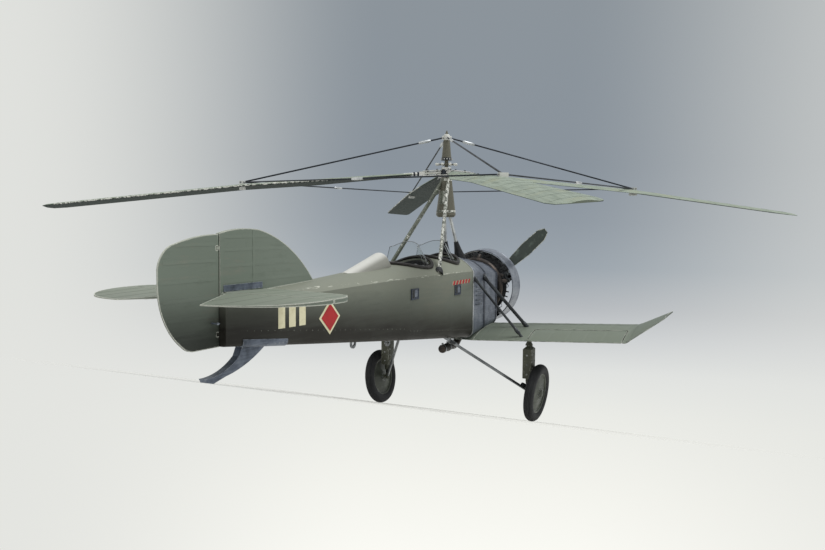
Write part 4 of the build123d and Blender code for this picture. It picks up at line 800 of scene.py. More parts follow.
# Seat belts, buckles, rudder bars, throttle levers and column boots
belts, buckles, controls, boots = (bmesh.new() for _ in range(4))
for pit in cockpits:
    seatX, pan, pad, back = pit["seat"], pit["pan"], pit["pad"], pit["back"]
    rear = seatX - 0.200
    lap = [(seatX - 0.10, 0.207, pan + 0.075), (seatX - 0.08, 0.185, pad + 0.018),
           (seatX - 0.03, 0.10, pad + 0.020),
           (seatX, 0.0, pad + 0.024)]
    ribbon(belts, lap, (0.045, 0, 0))
    ribbon(belts, [(x, -y, z) for x, y, z in lap], (0.045, 0, 0))
    for side in (1, -1):
        y = 0.095 * side
        ribbon(belts, [(rear - 0.040, y, back - 0.10), (rear - 0.036, y, back + 0.006),
                       (rear + 0.006, y, back + 0.006),
                       (rear + 0.012, y, back - 0.03), (rear + 0.042, y, pan + 0.16),
                       (rear + 0.095, y * 0.8, pad + 0.022),
                       (seatX - 0.02, y * 0.4, pad + 0.026)], (0, 0.042, 0))
        rod(controls, (seatX + 0.22, 0.436 * side, pan + 0.31), (seatX + 0.32, 0.436 * side, pan + 0.31),
            0.012)
    block(buckles, Matrix.Translation((seatX, 0, pad + 0.028)), (0.062, 0.070, 0.010), 0.004)
    block(buckles, Matrix.Translation((seatX, 0.01, pad + 0.034)), (0.026, 0.052, 0.008), 0.003)
    for side in (1, -1):
        block(buckles, Matrix.Translation((seatX - 0.075, 0.178 * side, pad + 0.020)),
              (0.056, 0.022, 0.008), 0.003)
    bar = seatX + 0.500
    barZ = bellyAt(bar) + floorLift + 0.085
    rod(controls, (bar, 0, barZ - 0.088), (bar, 0, barZ + 0.02), 0.018)
    rod(controls, (bar, -0.24, barZ), (bar, 0.24, barZ), 0.013)
    for side in (1, -1):
        block(controls, Matrix.Translation((bar - 0.008, 0.20 * side, barZ + 0.022)), (0.022, 0.085, 0.075),
              0.005)
        for k in range(4):
            block(boots, Matrix.Translation((bar - 0.021, 0.20 * side, barZ + (k - 1) * 0.016 + 0.014)),
                  (0.008, 0.078, 0.006), 0.002)
    for k, lean in enumerate((0.05, 0.02)):
        root = Vector((seatX + 0.24 + k * 0.05, 0.430, pan + 0.31))
        rod(controls, root, root + Vector((lean, -0.012, 0.12)), 0.006, 8)
        bmesh.ops.create_uvsphere(controls, u_segments=12, v_segments=8, radius=0.014,
                                  matrix=Matrix.Translation(root + Vector((lean, -0.012, 0.125))))
    stick = seatX + 0.470
    foot = Matrix.Translation((stick, 0, bellyAt(stick) + floorLift))
    turned(boots, [(0.075, 0.0), (0.075, 0.008), (0.058, 0.020), (0.064, 0.032), (0.046, 0.046),
                   (0.051, 0.058), (0.034, 0.074),
                   (0.037, 0.086), (0.0165, 0.105), (0.0145, 0.105)], foot, 24)
    grip = bellyAt(stick) + floorLift + 0.520
    turned(boots, [(0.0215, -0.112), (0.0235, -0.10), (0.0215, -0.088), (0.0235, -0.070), (0.0215, -0.055),
                   (0.0235, -0.038),
                   (0.0225, -0.012), (0.019, 0.004), (0.0, 0.009)], Matrix.Translation((stick, 0, grip)),
                   20)
newPiece("seatBelts", belts, "cottonWebbing", "airframe")
newPiece("beltBuckles", buckles, "plainSteel", "airframe")
newPiece("cockpitControls", controls, "seatAlloy", "airframe")
newPiece("columnBoots", boots, "coamingHide", "airframe")
print("cockpits fitted out")

# Painted marks on both sides: three plain bars, a bordered lozenge, and dashes below the front cockpit
hullSkin = skinOf("side_left", "side_right", "rear_fuselage", "cockpit_deck", "belly_panel")
barMarks = {"rear": -4.69, "pitch": 0.165, "width": 0.105, "low": 1.985, "high": 2.28, "count": 3}
lozenge = {"x": -3.84, "z": 2.030, "half": (0.190, 0.200), "inner": 0.80}
dashes = {"rear": -0.76, "pitch": 0.115, "long": 0.070, "low": 2.200, "high": 2.258, "count": 6}
cream, red = bmesh.new(), bmesh.new()


# rays for laying things on a skin: from one side, and from above or below
def fromSide(side, x, z):
    return (x, side * 2.0, z), (0, -side, 0)


def fromAbove(up, x, y):
    return (x, y, 4.0 if up else 0.0), (0, 0, -1 if up else 1)


for side in (1, -1):
    for k in range(barMarks["count"]):
        left = barMarks["rear"] + k * barMarks["pitch"]
        sheetOn(cream, hullSkin, (6, 10), lambda u, w: fromSide(side, left + u * barMarks["width"],
                barMarks["low"] + w * (barMarks["high"] - barMarks["low"])))
    for paint, scale, lift in ((cream, 1.0, 0.002), (red, lozenge["inner"], 0.006)):
        wide, tall = (h * scale for h in lozenge["half"])
        sheetOn(paint, hullSkin, (14, 14), lambda u, w: fromSide(side, lozenge["x"] + wide * (u - w),
            lozenge["z"] + tall * (u + w - 1)), lift)
    for k in range(dashes["count"]):
        left = dashes["rear"] + k * dashes["pitch"]
        sheetOn(red, hullSkin, (4, 4),
                lambda u, w: fromSide(side, left + u * dashes["long"] + (w - 0.5) * 0.03,
                dashes["low"] + w * (dashes["high"] - dashes["low"])))
        sheetOn(cream, hullSkin, (2, 4),
                lambda u, w: fromSide(side, left - 0.018 + u * 0.012 + (w - 0.5) * 0.03,
                dashes["low"] + w * (dashes["high"] - dashes["low"])))
newPiece("creamMarks", cream, "creamPaint", "airframe", 60.0)
newPiece("redMarks", red, "redPaint", "airframe", 60.0)

# Step flaps: a dark frame, a black sheet of painted shadow for the pocket behind the flap's rear half, and
# hinges
stepPlaces = ((-1.980, 2.160), (-0.600, 2.120))
stepSize = (0.200, 0.130)
flapSkin = skinOf("step_flaps")
frames, pocketShadows = bmesh.new(), bmesh.new()
for side in (1, -1):
    for x, z in stepPlaces:
        halfX, halfZ = stepSize[0] / 2, stepSize[1] / 2
        hit = flapSkin.ray_cast(Vector((x, side * 2, z)), Vector((0, -side, 0)))[0]
        for dx, dz, size in ((0, halfZ, (stepSize[0] + 0.03, 0.016, 0.018)),
                             (0, -halfZ, (stepSize[0] + 0.03, 0.016, 0.018)),
                             (halfX, 0, (0.018, 0.016, stepSize[1] + 0.02)),
                             (-halfX, 0, (0.018, 0.016, stepSize[1] + 0.02))):
            block(frames, Matrix.Translation((x + dx, hit.y, z + dz)), size, 0.004)
        # painted shadow: a black sheet where the pocket lies in shade
        sheetOn(pocketShadows, flapSkin, (4, 4), lambda u, w: fromSide(side, x - halfX + 0.006 + u * 0.085,
            z - halfZ + 0.008 + w * (stepSize[1] - 0.016)))
        for k in (-1, 1):
            rod(frames, (x + 0.03 + k * 0.022, hit.y + side * 0.006, z - halfZ + 0.016),
                (x + 0.055 + k * 0.022, hit.y + side * 0.006, z - halfZ + 0.016), 0.006, 8)
            rivet(frames, (x + 0.035 + k * 0.03, hit.y + side * 0.001, z + halfZ - 0.02), (0, side, 0),
                  0.006)
newPiece("stepFrames", frames, "bayFrame", "airframe")
newPiece("stepPocketShadows", pocketShadows, "panelBlack", "airframe")

# Hatches under the belly, their screws, and rows of screws along the sides
hatches, screws = bmesh.new(), bmesh.new()
hatch = {"places": (-0.55, -1.35, -2.65), "size": 0.30, "screws": 0.135}
for x in hatch["places"]:
    sheetOn(hatches, hullSkin, (8, 8), lambda u, w: fromAbove(False, x + (u - 0.5) * hatch["size"],
        (w - 0.5) * hatch["size"]), 0.003, 0.0025)
    studs(screws, hullSkin,
          [fromAbove(False, x + a * hatch["screws"], b * hatch["screws"])
           for a in (-1, 0, 1) for b in (-1, 0, 1) if a or b], 0.007)
for side in (1, -1):
    for k in range(30):
        x = -2.24 - k * 0.1
        studs(screws, hullSkin, [((x, side * 2, bellyAt(x) + 0.16), (0, -side, 0))], 0.005)
    for k in range(22):
        x = -0.06 - k * 0.096
        studs(screws, hullSkin, [((x, side * 2, 2.335), (0, -side, 0)),
                                 ((x, side * 2, bellyAt(x) + 0.13), (0, -side, 0))], 0.005)
newPiece("bellyHatches", hatches, "bodyCanvas", "airframe")
newPiece("panelScrews", screws, "wheelEnamel", "airframe")

# Pylon feet: dark boots round the front legs, short sockets and bolts on the rear legs
sockets, legBolts = bmesh.new(), bmesh.new()
for side in (1, -1):
    foot, head = Vector((0.290, side * 0.120, 2.580)), Vector((0.020, side * 0.040, 3.300))
    way = (head - foot).normalized()
    turned(sockets, [(0.092, -0.06), (0.090, 0.0), (0.074, 0.05), (0.056, 0.13), (0.044, 0.20),
                     (0.036, 0.245), (0.036, 0.262), (0.0285, 0.262)],
           aimed(foot, way), 28)
    foot, head = Vector((-1.175, side * 0.425, 2.400)), Vector((-0.020, side * 0.045, 3.790))
    way = (head - foot).normalized()
    spot = foot + way * 0.035
    turned(sockets, [(0.066, -0.05), (0.062, 0.0), (0.054, 0.025), (0.046, 0.040), (0.045, 0.048),
                     (0.036, 0.048)], aimed(spot, way), 28)
    for k in range(3):
        at = foot + way * (0.17 + k * 0.05)
        bolt(legBolts, at + Vector((0, side * 0.019, 0)), (0, side, 0.25), 0.016)
newPiece("legBoots", sockets, "panelBlack", "airframe")
newPiece("legBolts", legBolts, "plainSteel", "airframe")
print("fuselage dressed")

# Engine bay: hoops round its section, a low seam, hinge strips along the top, a panel, rivets and louvres
baySkin = skinOf("engine_bay", "firewall")
bayAxis = 1.95


def around(x, turn):
    out = Vector((0, math.cos(turn), math.sin(turn)))
    return (x, 2 * out.y, bayAxis + 2 * out.z), -out


# columns: from x, to x, lift, finish
hoops = ((0.021, 0.044, 0.004, "brightTube"), (0.500, 0.560, 0.004, "bayFrame"),
         (1.070, 1.126, 0.005, "bayFrame"))
for k, (low, high, lift, finish) in enumerate(hoops):
    bm = bmesh.new()
    sheetOn(bm, baySkin, (2, 128), lambda u, w: around(low + u * (high - low), w * math.tau), lift, 0.003)
    bmesh.ops.remove_doubles(bm, verts=bm.verts, dist=0.0004)
    newPiece("bayHoop%d" % (k + 1), bm, finish, "airframe")
bm = bmesh.new()
for side in (1, -1):
    sheetOn(bm, baySkin, (30, 2), lambda u, w: fromSide(side, 0.045 + u * 1.02, 1.648 + w * 0.024), 0.003,
            0.002)
    sheetOn(bm, baySkin, (30, 2), lambda u, w: fromAbove(True, 0.045 + u * 1.02, side * (0.20 + w * 0.03)),
            0.004, 0.003)
    sheetOn(bm, baySkin, (6, 6), lambda u, w: fromSide(side, 0.62 + u * 0.34, 1.78 + w * 0.30), 0.003,
            0.002)
newPiece("bayStrips", bm, "bayMetal", "airframe")
bm = bmesh.new()
for x in (0.033, 0.515, 0.545, 1.084, 1.112):
    studs(bm, baySkin, [around(x, k * math.tau / 72) for k in range(72)], 0.006)
for side in (1, -1):
    studs(bm, baySkin, [fromSide(side, 0.07 + k * 0.05, 1.660) for k in range(20)], 0.005)
    studs(bm, baySkin,
          [fromSide(side, 0.64 + a * 0.15, 1.80 + b * 0.13) for a in range(3) for b in range(3)
           if (a, b) != (1, 1)], 0.007)
newPiece("bayRivets", bm, "plainSteel", "airframe")
louvre = {"count": 5, "x": 0.28, "z": 1.83, "pitch": 0.07, "out": 0.006, "tilt": 0.5,
          "size": (0.26, 0.010, 0.038), "bevel": 0.004}
bm = bmesh.new()
for side in (1, -1):
    for k in range(louvre["count"]):
        z = louvre["z"] + k * louvre["pitch"]
        hit = baySkin.ray_cast(Vector((louvre["x"], side * 2, z)), Vector((0, -side, 0)))[0]
        spot = Matrix.Translation((louvre["x"], hit.y + side * louvre["out"], z))
        block(bm, spot @ Matrix.Rotation(-side * louvre["tilt"], 4, "X"), louvre["size"], louvre["bevel"])
newPiece("bayLouvres", bm, "bayMetal", "airframe")

# Engine: fine fins, rocker boxes, push-rod tubes, plugs and their leads, pipes, exhaust collector, and a
# black baffle with a crescent of painted shade in the top of the ring
thrustZ, cylinderX, cylinderCount = 2.021, 1.430, 5
finRow = {"start": 0.258, "pitch": 0.0128, "count": 18, "root": 0.067, "rim": 0.092}
fins, covers, pipes, leads, cased = (bmesh.new() for _ in range(5))


def atCylinder(i):
    return Matrix.Translation((0, 0, thrustZ)) @ Matrix.Rotation(i * math.tau / cylinderCount, 4, "X")


profile = []
for k in range(finRow["count"]):
    h = finRow["start"] + k * finRow["pitch"]
    profile += [(finRow["root"], h), (finRow["rim"], h + 0.0025), (finRow["rim"], h + 0.0050),
                (finRow["root"], h + 0.0075)]
for i in range(cylinderCount):
    spin = atCylinder(i)
    turned(fins, profile, spin @ Matrix.Translation((cylinderX, 0, 0)), 30)
    for k in range(4):
        rim = 0.100 - 0.003 * k
        turned(fins, [(0.090, 0.502 + k * 0.014), (rim, 0.504 + k * 0.014), (rim, 0.508 + k * 0.014),
                      (0.090, 0.510 + k * 0.014)],
               spin @ Matrix.Translation((cylinderX, 0, 0)), 30)
    for side in (1, -1):
        block(covers, spin @ Matrix.Translation((cylinderX + 0.015, side * 0.048, 0.572))
              @ Matrix.Rotation(side * -0.25, 4, "X"),
              (0.130, 0.050, 0.046), 0.010)
        for k in (-1, 1):
            bolt(covers, spin @ Vector((cylinderX + 0.015 + k * 0.045, side * 0.054, 0.594)),
                 spin.to_3x3() @ Vector((0, side * 0.25, 1)), 0.012)
        rod(pipes, spin @ Vector((1.535, side * 0.040, 0.225)),
            spin @ Vector((cylinderX + 0.085, side * 0.050, 0.560)), 0.012, 10)
        turned(pipes, [(0.017, 0.0), (0.019, 0.02), (0.013, 0.034)],
               aimed(spin @ Vector((1.535, side * 0.040, 0.232)),
               spin.to_3x3() @ Vector((-0.02, side * 0.01, 0.335))), 12)
        plug = spin @ Vector((cylinderX, side * 0.094, 0.520))
        out = spin.to_3x3() @ Vector((0, side, 0.25))
        turned(leads, [(0.0, 0.055), (0.006, 0.055), (0.007, 0.022), (0.011, 0.022), (0.012, 0.0),
                       (0.008, -0.012)], aimed(plug, out), 10)
        tube(leads, [plug + out * 0.05, plug + out * 0.075, spin @ Vector((1.50, side * 0.16, 0.42)),
                     spin @ Vector((1.555, side * 0.10, 0.31))], 0.0045, sides=1)
    tube(pipes, [spin @ Vector(p) for p in ((1.300, 0.09, 0.235), (1.300, 0.10, 0.34), (1.315, 0.085, 0.46),
        (1.352, 0.04, 0.515))], 0.030)
    tube(pipes, [spin @ Vector(p) for p in ((cylinderX - 0.06, -0.045, 0.535), (1.335, -0.05, 0.535),
        (1.295, -0.05, 0.50), (1.285, -0.045, 0.455))], 0.034)
    for side in (1, -1):
        bolt(cased, spin @ Vector((cylinderX + 0.075, side * 0.075, 0.243)),
             spin.to_3x3() @ Vector((0, 0, 1)), 0.020)
        bolt(cased, spin @ Vector((cylinderX - 0.075, side * 0.075, 0.243)),
             spin.to_3x3() @ Vector((0, 0, 1)), 0.020)
hoop = [(1.285, 0.450 * math.cos(k * math.tau / 16), thrustZ + 0.450 * math.sin(k * math.tau / 16))
        for k in range(16)]
collector = bmesh.new()
tube(collector, hoop, 0.062, closed=True, sides=4)
tube(collector, [(1.285, 0, thrustZ - 0.44), (1.270, 0, 1.46), (1.180, 0, 1.365), (1.000, 0, 1.335),
                 (0.780, 0, 1.330)], 0.058, sides=4)
tube(leads, [(1.555, 0.315 * math.cos(k * math.tau / 12), thrustZ + 0.315 * math.sin(k * math.tau / 12))
             for k in range(12)], 0.013, closed=True)
noseSeat = aimed((1.560, 0, thrustZ), (1, 0, 0))
turned(cased, [(0.110, 0.140), (0.118, 0.146), (0.134, 0.140), (0.134, 0.118), (0.120, 0.112)], noseSeat,
       40)
turned(cased, [(0.241, -0.03), (0.252, -0.03), (0.252, 0.006), (0.20, 0.010)], noseSeat, 48)
# columns: how many, radius of the row, height over the seat, size
for count, radius, high, size in ((15, 0.228, 0.008, 0.018), (10, 0.126, 0.143, 0.012)):
    for at in spread(count, radius, high):
        bolt(cased, noseSeat @ at, (1, 0, 0), size)
baffleAndShade = bmesh.new()
turned(baffleAndShade, [(0.236, 0.0), (0.490, 0.0), (0.503, 0.008), (0.504, 0.022), (0.501, 0.022), (0.498, 0.010),
                (0.488, 0.004), (0.236, 0.004)],
       aimed((1.462, 0, thrustZ), (1, 0, 0)), 72)
for i in range(cylinderCount):
    spin = atCylinder(i + 0.5)
    for side in (-1, 0, 1):
        block(baffleAndShade, spin @ Matrix.Rotation(side * 0.16, 4, "X") @ Matrix.Translation((1.460, 0, 0.43)),
              (0.010, 0.022, 0.26), 0.004)
# a black crescent of painted shade closes the top of the ring from behind
shadeCrescent = bmesh.ops.create_grid(baffleAndShade, x_segments=48, y_segments=2, size=0.5)["verts"]
shadeCrescentFaces = list({f for v in shadeCrescent for f in v.link_faces})
for v in shadeCrescent:
    turn, radius = v.co.x * math.radians(150), 0.540 + v.co.y * 0.128
    v.co = Vector((1.470, radius * math.sin(turn), thrustZ + radius * math.cos(turn)))
bmesh.ops.solidify(baffleAndShade, geom=shadeCrescentFaces, thickness=0.003)
newPiece("baffleAndShadeSheet", baffleAndShade, "panelBlack", "airframe")
newPiece("barrelFins", fins, "castIron", "airframe")
newPiece("rockerBoxes", covers, "castIron", "airframe")
newPiece("enginePipes", pipes, "exhaustSteel", "airframe")
newPiece("plugLeads", leads, "panelBlack", "airframe")
newPiece("caseBolts", cased, "castAlloy", "airframe")
newPiece("exhaustCollector", collector, "exhaustSteel", "airframe")

# Ring cowl: a rolled rear bead, rows of rivets, bracket bolts; clamps along the exhaust
bm = bmesh.new()
ringSeat = aimed((1.467, 0, thrustZ), (1, 0, 0))
turned(bm, [(0.6195 + 0.009 * math.cos(k * math.tau / 10), 0.004 + 0.009 * math.sin(k * math.tau / 10))
            for k in range(11)], ringSeat, 96)
for row, radius in ((0.035, 0.6285), (0.215, 0.638)):
    for out in spread(64):
        rivet(bm, ringSeat @ (out * radius + Vector((0, 0, row))), ringSeat.to_3x3() @ out, 0.006)
for i in range(cylinderCount):
    spin = atCylinder(i)
    for k in (-1, 1):
        bolt(bm, spin @ Vector((1.4665, k * 0.013, 0.592)), (-1, 0, 0), 0.012)
newPiece("ringTrim", bm, "ringMetal", "airframe")
bm = bmesh.new()
for x in (0.36, 0.13, -0.06):
    turned(bm, [(0.0615, -0.016), (0.068, -0.016), (0.068, 0.016), (0.0615, 0.016)],
           aimed((x, 0, 1.1215 - 0.0294 * (0.45 - x) / 0.545 * 0.3), (-1, 0, -0.03)), 36)
    block(bm, Matrix.Translation((x, 0, 1.193)), (0.024, 0.020, 0.026), 0.003)
    bolt(bm, (x, 0.012, 1.195), (0, 1, 0), 0.014)
newPiece("exhaustClamps", bm, "plainSteel", "airframe")

# Propeller boss: face plate, bolts and locking nut
bm = bmesh.new()
bossSeat = aimed((1.945, 0, thrustZ), (1, 0, 0))
turned(bm, [(0.033, 0.0), (0.104, 0.0), (0.108, 0.004), (0.108, 0.010), (0.100, 0.014), (0.050, 0.014),
            (0.048, 0.030), (0.030, 0.036),
            (0.028, 0.060), (0.018, 0.072), (0.0, 0.074)], bossSeat, 40)
turned(bm, [(0.098, -0.146), (0.108, -0.142), (0.108, -0.132), (0.096, -0.130)], bossSeat, 40)
for at in spread(8, 0.078, 0.014):
    bolt(bm, bossSeat @ at, (1, 0, 0), 0.020)
newPiece("propellerBoss", bm, "plainSteel", "propeller")
print("nose dressed")

# Rotor head, turned blade by blade: fork plates, hinge bolts, root bands, turnbuckles and clamp bolts
clampRadius, clampZ, hubZ, cableLift = 3.155, 3.661, 3.921, 0.046
postTop, postTopRadius, starZ = 4.500, 0.042, 4.040
forks, knobs, whiteBits, barrels = (bmesh.new() for _ in range(4))


def sparZ(radius):
    return hubZ + (clampZ - hubZ) * radius / clampRadius


def turnbuckle(bm, a, b, share, size):
    a, b = Vector(a), Vector(b)
    way = (b - a).normalized()
    turned(bm, [(0.0, -0.16), (size * 0.9, -0.16), (size * 0.9, -0.10), (size * 1.5, -0.09),
                (size * 1.8, -0.05), (size * 1.8, 0.05),
                (size * 1.5, 0.09), (size * 0.9, 0.10), (size * 0.9, 0.16), (0.0, 0.16)],
                aimed(a.lerp(b, share), way), 14)


for i in range(bladeCount):
    azimuth = bladeAzimuth + i * math.tau / bladeCount
    turn = Matrix.Rotation(azimuth, 4, "Z")
    onward = Matrix.Rotation(azimuth + math.tau / bladeCount, 4, "Z")
    for lift in (0.036, -0.036):
        spot = turn @ Matrix.Translation((0.235, 0, sparZ(0.235) + lift))
        block(whiteBits, spot @ Matrix.Rotation(0.082, 4, "Y"), (0.30, 0.086, 0.012), 0.004)
    for r in (0.15, 0.30):
        rod(forks, turn @ Vector((r, 0, sparZ(r) - 0.040)), turn @ Vector((r, 0, sparZ(r) + 0.040)), 0.017)
        for lift, way in ((0.041, 1), (-0.041, -1)):
            bolt(forks, turn @ Vector((r, 0, sparZ(r) + lift)), (0, 0, way), 0.024)
    for y in (0.024, -0.024):
        for r in (0.376, 0.424):
            bolt(knobs, turn @ Vector((r, y, sparZ(r) + 0.029)), (0, 0, 1), 0.016)
    for r in (0.455, 0.515):
        turned(forks, [(0.0245, -0.014), (0.033, -0.012), (0.033, 0.012), (0.0245, 0.014)],
               turn @ aimed((r, 0, sparZ(r)), (1, 0, -0.0824)), 20)
    top = turn @ Vector((postTopRadius, 0, postTop - postTopRadius))
    low = turn @ Vector((clampRadius, 0, clampZ + cableLift))
    turnbuckle(barrels, top, low, 0.10, 0.013)
    turnbuckle(barrels, low, onward @ Vector((clampRadius, 0, clampZ + cableLift)), 0.5, 0.011)
    for y, way in ((0.055, 1), (-0.055, -1)):
        for k in (-1, 1):
            bolt(knobs, turn @ Vector((clampRadius + k * 0.026, y, clampZ + 0.044)),
                 turn.to_3x3() @ Vector((0, way, 0)), 0.016)
    # lugs at the top of the king post, one to a stay
    block(whiteBits, turn @ Matrix.Translation((0.052, 0, postTop - 0.046)), (0.050, 0.026, 0.060), 0.006)
    rod(knobs, turn @ Vector((0.058, -0.022, postTop - 0.050)),
        turn @ Vector((0.058, 0.022, postTop - 0.050)), 0.009)
for out in spread(8):
    turned(whiteBits, [(0.0095, -0.05), (0.015, -0.046), (0.019, -0.022), (0.019, 0.0), (0.010, 0.012),
                       (0.0, 0.014)],
           aimed(Vector((0, 0, starZ)) + out * 0.172, out), 14)
turned(whiteBits, [(0.0425, -0.085), (0.050, -0.080), (0.050, -0.012), (0.046, 0.004), (0.030, 0.012)],
       Matrix.Translation((0, 0, postTop)), 28)
turned(forks, [(0.081, 0.0), (0.090, 0.004), (0.090, 0.034), (0.079, 0.040)],
       Matrix.Translation((0, 0, 4.103)), 32)
for out in spread(12):
    rivet(whiteBits, Vector((0, 0, 4.122)) + out * 0.089, out, 0.011)
turned(forks, [(0.079, -0.040), (0.092, -0.036), (0.092, 0.036), (0.079, 0.040)],
       Matrix.Translation((0, 0, hubZ)), 40)
newPiece("hubForks", forks, "cableSteel", "rotor")
newPiece("hubKnobs", knobs, "plainSteel", "rotor")
newPiece("hubWhites", whiteBits, "whiteEnamel", "rotor")
newPiece("turnbuckles", barrels, "brightTube", "rotor")

# Blades: bands of tape over the ribs, laid on each blade's own skin
bladeBand = {"count": 15, "first": 1.15, "pitch": 0.33, "clear": 0.12, "root": 0.56, "taper": 1.44,
             "rootChord": 0.07, "chord": 0.38, "width": 0.035, "lift": 0.0008, "thick": 0.0006}
for i in range(bladeCount):
    azimuth = bladeAzimuth + i * math.tau / bladeCount
    turn = Matrix.Rotation(azimuth, 4, "Z")
    skin = skinOf("rotor_blade_%d" % (i + 1))
    bm = bmesh.new()
    for k in range(bladeBand["count"]):
        radius = bladeBand["first"] + k * bladeBand["pitch"]
        if abs(radius - clampRadius) < bladeBand["clear"]:
            continue
        taper = min(1.0, max(0.0, (radius - bladeBand["root"]) / bladeBand["taper"]))
        wide = bladeBand["rootChord"] + (bladeBand["chord"] - bladeBand["rootChord"]) * taper
        for start, way in ((6.0, -1), (0.0, 1)):
            sheetOn(bm, skin, (2, 10),
                    lambda u, w: (turn @ Vector((radius + (u - 0.5) * bladeBand["width"],
                        0.06 - w * (wide + 0.03), start)), Vector((0, 0, way))), bladeBand["lift"],
                        bladeBand["thick"])
    newPiece("bladeTapes%d" % (i + 1), bm, "bladeDope%d" % (i + 1), "rotor", 60.0)

# Pylon: two riveted bands and an access door
pylonSkin = skinOf("pylon_fairing")
bm = bmesh.new()
for z, radius in ((3.800, 0.0885), (3.300, 0.1493)):
    turned(bm, [(radius - 0.002, -0.018), (radius + 0.005, -0.018), (radius + 0.001, 0.018),
                (radius - 0.006, 0.018)], Matrix.Translation((0, 0, z)), 48)
    studs(bm, pylonSkin, [(out * 2 + Vector((0, 0, z)), -out) for out in spread(20)], 0.008)
sheetOn(bm, pylonSkin, (8, 8), lambda u, w: ((-2, (u - 0.5) * 0.11, 3.42 + w * 0.20), (1, 0, 0)), 0.003,
        0.002)
newPiece("pylonBands", bm, "rearLegEnamel", "airframe")
print("rotor dressed")

# Wing: tapes over the ribs and along the spars, and sockets at the ends of the struts
wingSkin = skinOf("wing_left", "wing_right", "wing_centre")
innerAileron, outerAileron = 1.350, 2.780
tape = {"thick": 0.001, "lift": 0.0018, "over": 0.0028, "width": 0.045, "first": 0.56, "pitch": 0.275,
        "count": 9}
tapes = bmesh.new()
for side in (1, -1):
    aileron = "aileron_left" if side > 0 else "aileron_right"
    skin = skinOf(aileron)
    flaps = bmesh.new()
    for k in range(tape["count"]):
        y = tape["first"] + k * tape["pitch"]
        for up in (True, False):
            rear = 0.540 if innerAileron - 0.03 < y < outerAileron + 0.03 else 0.105
            sheetOn(tapes, wingSkin, (2, 18), lambda u, w: fromAbove(up, rear + w * (1.44 - rear),
                side * (y + (u - 0.5) * tape["width"])), tape["lift"], tape["thick"])
            if rear > 0.5 and innerAileron + 0.03 < y < outerAileron - 0.03:
                sheetOn(flaps, skin, (2, 8), lambda u, w: fromAbove(up, 0.112 + w * 0.355,
                    side * (y + (u - 0.5) * tape["width"])), tape["lift"], tape["thick"])
    for up in (True, False):
        sheetOn(tapes, wingSkin, (36, 2), lambda u, w: fromAbove(up, 0.94 + w * 0.06,
            side * (0.48 + u * 2.34)), tape["over"], tape["thick"])
        sheetOn(tapes, wingSkin, (2, 16), lambda u, w: fromAbove(up, 0.125 + w * 1.29,
            side * (2.862 + (u - 0.5) * 0.05)), tape["over"], tape["thick"])
    newPiece(aileron + "_tapes", flaps, "wingTape", aileron, 60.0)
newPiece("wingTapes", tapes, "wingTape", "airframe", 60.0)

# columns: one end, other end, radius of the strut
strutRows = (((0.080, 0.430, 2.296), (0.220, 1.200, 1.380), 0.020),
             ((0.480, 0.420, 2.306), (0.700, 1.180, 1.420), 0.027),
             ((-0.780, 0.400, 1.390), (0.444, 1.270, 0.52), 0.022))
sleeves, strutBolts = bmesh.new(), bmesh.new()
for side in (1, -1):
    for a, b, radius in strutRows:
        a, b = (Vector((p[0], p[1] * side, p[2])) for p in (a, b))
        way = (b - a).normalized()
        for end, along in ((a, way), (b, -way)):
            first = end + along * 0.035
            turned(sleeves, [(radius, 0.0), (radius + 0.009, 0.004), (radius + 0.009, 0.07),
                             (radius + 0.004, 0.11), (radius, 0.115)], aimed(first, along), 18)
            cross = along.cross(Vector((1, 0, 0))).normalized()
            for sign in (1, -1):
                bolt(strutBolts, first + along * 0.04 + cross * sign * (radius + 0.008), cross * sign,
                     0.014)
newPiece("strutSleeves", sleeves, "strutSteel", "airframe")
newPiece("strutBolts", strutBolts, "plainSteel", "airframe")

# Landing gear: covers and bolts on the leg boxes
covers, coverBolts = bmesh.new(), bmesh.new()
for side in (1, -1):
    for face in (1, -1):
        y = side * 1.270 + face * 0.0705
        block(covers, Matrix.Translation((0.444, y, 0.90)), (0.150, 0.006, 0.34), 0.003)
        for x in (0.385, 0.503):
            for z in (0.75, 0.85, 0.95, 1.05):
                bolt(coverBolts, (x, y + face * 0.003, z), (0, face, 0), 0.013)
    for face in (1, -1):
        block(covers, Matrix.Translation((0.444 + face * 0.1005, side * 1.270, 0.90)), (0.006, 0.095, 0.34),
              0.003)
        for z in (0.75, 0.90, 1.05):
            bolt(coverBolts, (0.444 + face * 0.1035, side * 1.270, z), (face, 0, 0), 0.013)
    turned(covers, [(0.0305, 0.0), (0.060, 0.0), (0.056, 0.02), (0.040, 0.05), (0.034, 0.09),
                    (0.0305, 0.09)], Matrix.Translation((0.444, side * 1.270, 1.197)), 24)
    turned(covers, [(0.0305, -0.10), (0.042, -0.098), (0.048, -0.05), (0.046, -0.012), (0.055, -0.002),
                    (0.0305, 0.0)], Matrix.Translation((0.444, side * 1.270, 0.682)), 24)
newPiece("gearCovers", covers, "legEnamel", "airframe")
newPiece("gearBolts", coverBolts, "plainSteel", "airframe")

